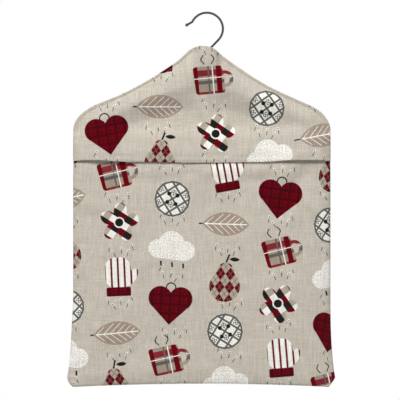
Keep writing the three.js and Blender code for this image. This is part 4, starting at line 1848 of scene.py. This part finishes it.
@dataclass
class SeamAllowance:
    """The turned-in edges of two panels inside the bag: two plies, overlocked along their free edge."""

    outline: BagOutline
    reverse: Material
    thread: Material
    width: float = 0.005
    inset: float = 0.0025
    shoulder_width: float = 0.0086
    shoulder_inset: float = 0.0012
    corner_inset: float = 0.0028
    # The lengths left out at the start and the end of each seam.
    shoulder_end_trim: float = 0.020
    side_trim: Pair = (0.002, 0.010)
    corner_trim: Pair = (0.0035, 0.0035)
    base_trim: Pair = (0.010, 0.010)
    point_gap: float = 0.0012
    least_points: int = 6
    # Half the section of the two plies, by shares of the width and of a ply, and the groove between them.
    ply: float = 0.00045
    half_section: tuple[Pair, ...] = ((0.0, 1.0), (0.5, 1.1), (0.94, 0.9), (1.0, 0.4))
    groove: float = 0.03
    # The flutter of the free edge: two depths, their radians from point to point, and the second's start.
    flutter_depths: Pair = (0.00006, 0.00005)
    flutter_rates: Pair = (0.9, 0.37)
    flutter_start: float = 1.0
    # The thread that winds over the free edge.
    thread_radius: float = 0.00022
    thread_sides: int = 5
    stitch_pitch: float = 0.0024
    stitch_points: int = 10
    least_stitch_points: int = 12
    stitch_middle: float = -0.0012
    stitch_reach: float = 0.0014
    stitch_slack: float = 1.05
    edge_room: float = 0.0004

    def build(self) -> None:
        """Make the allowances of the shoulders, sides, corners and base."""
        outline = self.outline
        for side, sign in (("left", -1.0), ("right", 1.0)):
            shoulder_trim = (outline.sewn_start(sign), self.shoulder_end_trim)
            for seam, line, trim, inset, width in (
                ("shoulder", outline.shoulder, shoulder_trim, self.shoulder_inset, self.shoulder_width),
                ("side", outline.side, self.side_trim, self.inset, self.width),
                ("corner", outline.corner, self.corner_trim, self.corner_inset, self.width),
            ):
                line = self.trimmed(line, *trim) * (sign, 1.0)
                self.band(f"{side}_{seam}_seam", line, inset, width, sign)
        whole_base = np.concatenate([outline.base, outline.base[::-1][1:] * MIRROR])
        self.band("base_seam", self.trimmed(whole_base, *self.base_trim), self.inset, self.width, 1.0)

    def trimmed(self, line: Array, start: float, end: float) -> Array:
        """Leave a length out at each end of a line and space its points evenly.

        Args:
            line: The line's points.
            start: The length left out at its start.
            end: The length left out at its end.

        Returns:
            The points.
        """
        run = run_along(line)
        count = max(self.least_points, int((run[-1] - start - end) / self.point_gap))
        return read_along(np.linspace(start, run[-1] - end, count), run, line)

    def plies(self, line: Array, inward: Array, inset: float, width: float) -> Array:
        """Lay the two plies along a line.

        Args:
            line: The line's points.
            inward: The way in at each of them.
            inset: How far inside the line the plies start.
            width: How far they reach in.

        Returns:
            The plies' points, by point of the line and side of the section.
        """
        count = np.arange(len(line))
        first, second = (np.sin(count * rate + start) for rate, start in zip(
            self.flutter_rates, (0.0, self.flutter_start)))
        flutter = self.flutter_depths[0] * first + self.flutter_depths[1] * second
        front = [(share, -depth) for share, depth in self.half_section]
        section = [*front, (1.0 - self.groove, 0.0), *self.half_section[::-1], (self.groove, 0.0)]
        reach = width - self.edge_room + flutter[:, None]
        rings = []
        for share, depth in section:
            x, drop = (line + inward * (inset + share * reach)).T
            rings.append(self.outline.placed(x, depth * self.ply + flutter * share, drop))
        return np.stack(rings, axis=1)

    def overlock(self, edge: Array, inward: Array) -> tuple[Array, Faces]:
        """Wind a thread in a zigzag over the free edge of an allowance.

        Args:
            edge: The edge's points.
            inward: The way in at each of them.

        Returns:
            The thread's points and faces.
        """
        run = run_along(edge)
        count = max(self.least_stitch_points, int(run[-1] / self.stitch_pitch * self.stitch_points))
        at = np.linspace(0.0, run[-1], count)
        turn = at / self.stitch_pitch * FULL_TURN
        reach = self.stitch_middle + self.stitch_reach * np.cos(turn)
        x, drop = (read_along(at, run, edge) + reach[:, None] * read_along(at, run, inward)).T
        depth = (self.ply + self.thread_radius) * self.stitch_slack * np.sin(turn)
        line = self.outline.placed(x, depth, drop)
        return tube(line, np.full(len(line), self.thread_radius), self.thread_sides)

    def band(self, node: str, line: Array, inset: float, width: float, sign: float) -> None:
        """Make one allowance along a line of the outline.

        Args:
            node: The solid that it stands for.
            line: The line's points.
            inset: How far inside the line the allowance starts.
            width: How far it reaches in.
            sign: -1 where the line runs the other way round.
        """
        inward = inward_ways(line) * sign
        plies = self.plies(line, inward, inset, width)
        faces = bar_faces(*plies.shape[:2])
        if sign < 0.0:
            faces = [face[::-1] for face in faces]
        edge = line + inward * (inset + width - self.edge_room)
        thread_points, thread_faces = self.overlock(edge, inward)
        points = np.concatenate([plies.reshape(-1, 3), thread_points])
        thread_faces = renumbered(thread_faces, len(points) - len(thread_points))
        piece = add_object(f"{node}_cloth", points, faces + thread_faces, [self.reverse, self.thread])
        piece.data.polygons.foreach_set("material_index", [0] * len(faces) + [1] * len(thread_faces))
        layer = piece.data.uv_layers.new(name=CUT_MAP)
        corners = np.zeros(len(piece.data.loops), np.int32)
        piece.data.loops.foreach_get("vertex_index", corners)
        layer.data.foreach_set("uv", points[corners][:, [0, 2]].astype(np.float32).ravel())
        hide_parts(node)
        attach(piece, "bag")


@dataclass
class WireHook:
    """The hook: one bent wire from its rivet in the hanger to the ball at its tip (angles in degrees)."""

    steel: Material
    wire_radius: float = 0.0013
    inner_radius: float = 0.017
    stem_lean: float = 44.0
    stem_bend_radius: float = 0.008
    sweep: float = 195.0
    tip_bend: float = 32.0
    tip_bend_radius: float = 0.0045
    tip_length: float = 0.0058
    ball_radius: float = 0.00185
    ball_rings: int = 24
    ball_neck: float = 2.2
    tip_point: float = 0.00002
    rivet_radius: float = 0.0025
    rivet_height: float = 0.0016
    rivet_round: float = 0.0003
    rivet_rings: int = 5
    rivet_step: float = 0.0001
    step: float = 0.0005
    sides: int = 20

    def centre_line(self) -> Array:
        """Walk along the bent wire from the rivet's foot to the tip.

        Returns:
            The points, one to a row.
        """
        lean, sweep, tip_bend = map(math.radians, (self.stem_lean, self.sweep, self.tip_bend))
        ring = self.inner_radius + self.wire_radius
        bend_z = -self.inner_radius - ring / math.sin(lean)
        tangent = self.stem_bend_radius * math.tan(lean / 2.0)
        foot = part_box("hook")[0].z
        # The length of each stretch and how far it turns.
        stretches = [
            (bend_z - tangent - foot, 0.0),
            (self.stem_bend_radius * lean, -lean),
            (ring / math.tan(lean) - tangent, 0.0),
            (ring * sweep, sweep),
            (self.tip_bend_radius * tip_bend, -tip_bend),
            (self.tip_length + self.ball_radius, 0.0),
        ]
        points, heading = [np.array([0.0, 0.0, foot])], math.pi / 2.0
        for travel, turn in stretches:
            count = max(2, round(travel / self.step))
            for _ in range(count):
                heading += turn / count / 2.0
                way = np.array([math.cos(heading), 0.0, math.sin(heading)])
                points.append(points[-1] + way * travel / count)
                heading += turn / count / 2.0
        return np.array(points)

    def ring_places(self, end: float, count: int) -> Array:
        """Choose where along the wire its rings lie, closest at the rivet's edges and the ball.

        Args:
            end: The wire's length.
            count: How many rings the wire has between the rivet and the ball.

        Returns:
            The places, in order.
        """
        rivet, soft = self.rivet_height, self.rivet_round
        turn = np.linspace(0.0, math.pi, self.ball_rings)[:-1]
        return np.unique(np.concatenate([
            np.linspace(0.0, soft, self.rivet_rings),
            np.linspace(rivet - soft, rivet, self.rivet_rings),
            np.linspace(rivet + self.rivet_step, end - self.ball_neck * self.ball_radius, count),
            end - self.ball_radius * (1.0 + np.cos(turn)),
            [end],
        ]))

    def radii(self, at: Array, end: float) -> Array:
        """Give the wire's radius along it, with the rivet's head at its foot and the ball at its tip.

        Args:
            at: Places along the wire.
            end: The wire's length.

        Returns:
            The radii.
        """
        ball_middle = end - self.ball_radius
        radii = np.where(at > ball_middle, 0.0, self.wire_radius)
        head = at <= self.rivet_height + TINY
        from_edge = np.minimum(at, self.rivet_height - at)[head]
        corner = np.clip(1.0 - from_edge / self.rivet_round, 0.0, 1.0)
        radii[head] = self.rivet_radius - self.rivet_round * (1.0 - np.sqrt(1.0 - corner ** 2))
        ball = np.clip(1.0 - ((at - ball_middle) / self.ball_radius) ** 2, 0.0, 1.0)
        return np.maximum(radii, np.maximum(self.ball_radius * np.sqrt(ball), self.tip_point))

    def build(self) -> None:
        """Sweep the wire."""
        line = self.centre_line()
        run = run_along(line)
        at = self.ring_places(run[-1], len(line))
        points, faces = tube(read_along(at, run, line), self.radii(at, run[-1]), self.sides)
        piece = add_object("hook_wire", points, faces, [self.steel])
        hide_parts("hook")
        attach(piece, "hook")


@dataclass(frozen=True)
class Lamp:
    """A square lamp that doesn't show in reflections."""

    name: str
    place: tuple[float, float, float]
    size: float
    watts: float

    def hang(self, target: Vector) -> None:
        """Hang the lamp so that it faces a target.

        Args:
            target: The middle of the bag.
        """
        data = bpy.data.lights.new(self.name, "AREA")
        data.size = self.size
        data.energy = self.watts
        lamp = bpy.data.objects.new(self.name, data)
        lamp.location = self.place
        lamp.visible_glossy = False
        lamp.rotation_euler = (target - Vector(self.place)).to_track_quat("-Z", "Y").to_euler()
        bpy.context.scene.collection.objects.link(lamp)


@dataclass
class Studio:
    """The pale floor, the white surroundings, the soft lamps and the camera of the photograph's view."""

    frame_width: float = 0.456
    distance: float = 1.52
    sensor: float = 36.0
    look_x: float = -0.0078
    look_z: float = -0.2122
    ambient: float = 0.09
    floor_z: float = -1.50
    floor_reach: float = 2.2
    floor_middle: float = 0.02
    floor_rings: int = 24
    floor_spokes: int = 64
    floor_colour: Colour = (0.80, 0.80, 0.79, 1.0)
    floor_roughness: float = 0.9
    fade_middle: float = 1.1
    fade_half: float = 0.7
    lamps: tuple[Lamp, ...] = (
        Lamp("key_lamp", (-0.90, -3.50, 4.50), 2.2, 428.0),
        Lamp("fill_lamp", (0.7, -1.5, -0.55), 1.4, 1.2),
        Lamp("back_lamp", (0.5, 2.4, 1.9), 1.6, 80.0),
    )

    def build(self) -> None:
        """Set everything up."""
        bpy.context.scene.view_settings.view_transform = "Standard"
        self.build_world()
        self.build_floor()
        self.build_camera()
        for lamp in self.lamps:
            lamp.hang(Vector((self.look_x, 0.0, self.look_z)))

    @staticmethod
    def seen_directly(tree: NodeTree) -> Field:
        """Give 1 to rays from the camera, reflections and glass, and 0 to the rest.

        Args:
            tree: The node tree that asks.

        Returns:
            The answer.
        """
        outputs = tree.nodes.new("ShaderNodeLightPath").outputs
        names = ("Is Camera Ray", "Is Glossy Ray", "Is Transmission Ray")
        camera, gloss, glass = (Field(tree, outputs[name]) for name in names)
        return camera.most(gloss, glass)

    def build_world(self) -> None:
        """Show white to the camera and to reflections, and give an even light to everything else."""
        world = bpy.data.worlds.new("white_room")
        bpy.context.scene.world = world
        world.use_nodes = True
        background = world.node_tree.nodes["Background"]
        background.inputs["Color"].default_value = WHITE
        seen = self.seen_directly(world.node_tree)
        (seen * (1.0 - self.ambient) + self.ambient).feed(background.inputs["Strength"])

    def build_floor(self) -> None:
        """Lay a pale floor that keeps the shadow under the bag and fades into the white surroundings."""
        rings, spokes = self.floor_rings, self.floor_spokes
        turn = np.linspace(0.0, FULL_TURN, spokes, endpoint=False)
        radius = self.floor_reach * np.linspace(self.floor_middle, 1.0, rings) ** 2
        level = np.full((rings, spokes), self.floor_z)
        points = np.stack([np.outer(radius, np.cos(turn)), np.outer(radius, np.sin(turn)), level], axis=-1)
        faces = grid_faces(rings, spokes, closed=True).tolist() + [list(range(spokes))]
        finish = Finish("pale_floor", self.floor_colour, self.floor_roughness)
        tree = finish.tree
        x, y, _z = finish.object_places()
        away = length(x, y) * (1.0 / MILLIMETRES)
        fade = -(away - self.fade_middle).inside(self.fade_half) + 1.0
        white = tree.nodes.new("ShaderNodeEmission")
        white.inputs["Color"].default_value = WHITE
        join = tree.nodes.new("ShaderNodeMixShader")
        (fade * self.seen_directly(tree)).feed(join.inputs[0])
        tree.links.new(finish.shader.outputs[0], join.inputs[1])
        tree.links.new(white.outputs[0], join.inputs[2])
        tree.links.new(join.outputs[0], tree.nodes["Material Output"].inputs["Surface"])
        add_object("floor", points, faces, [finish.material])

    def build_camera(self) -> None:
        """Place the camera in front of the bag, as far off as the photograph's flat look needs."""
        data = bpy.data.cameras.new("front_camera")
        data.sensor_width = self.sensor
        data.lens = self.sensor * self.distance / self.frame_width
        camera = bpy.data.objects.new("front_camera", data)
        camera.location = (self.look_x, -self.distance, self.look_z)
        camera.rotation_euler = (math.pi / 2.0, 0.0, 0.0)
        bpy.context.scene.collection.objects.link(camera)
        bpy.context.scene.camera = camera


def dress(node: str, material: Material) -> None:
    """Give a solid that stays in view its finish.

    Args:
        node: The solid's name.
        material: The finish.
    """
    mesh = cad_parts[node].data
    mesh.materials.clear()
    mesh.materials.append(material)


def main() -> None:
    """Build the studio and the bag, and log the cut of each cloth panel."""
    logging.basicConfig(level=logging.INFO, format="%(name)s: %(message)s")
    Studio().build()
    steel = DrawnSteel().material()
    thread = SewingThread().material()
    printed = LinenCloth("printed_linen", Ink.LINEN, CountryPrint()).material()
    reverse = LinenCloth("linen_reverse", Ink.REVERSE).material()
    shape = ClothShape()
    WireHook(steel).build()
    Bag(shape, FlapMotion(shape), printed, reverse, thread).build()
    SeamAllowance(shape.outline, reverse, thread).build()
    dress("hook_washer", steel)
    dress("coat_hanger", PaleWood().material())


if __name__ == "__main__":
    main()
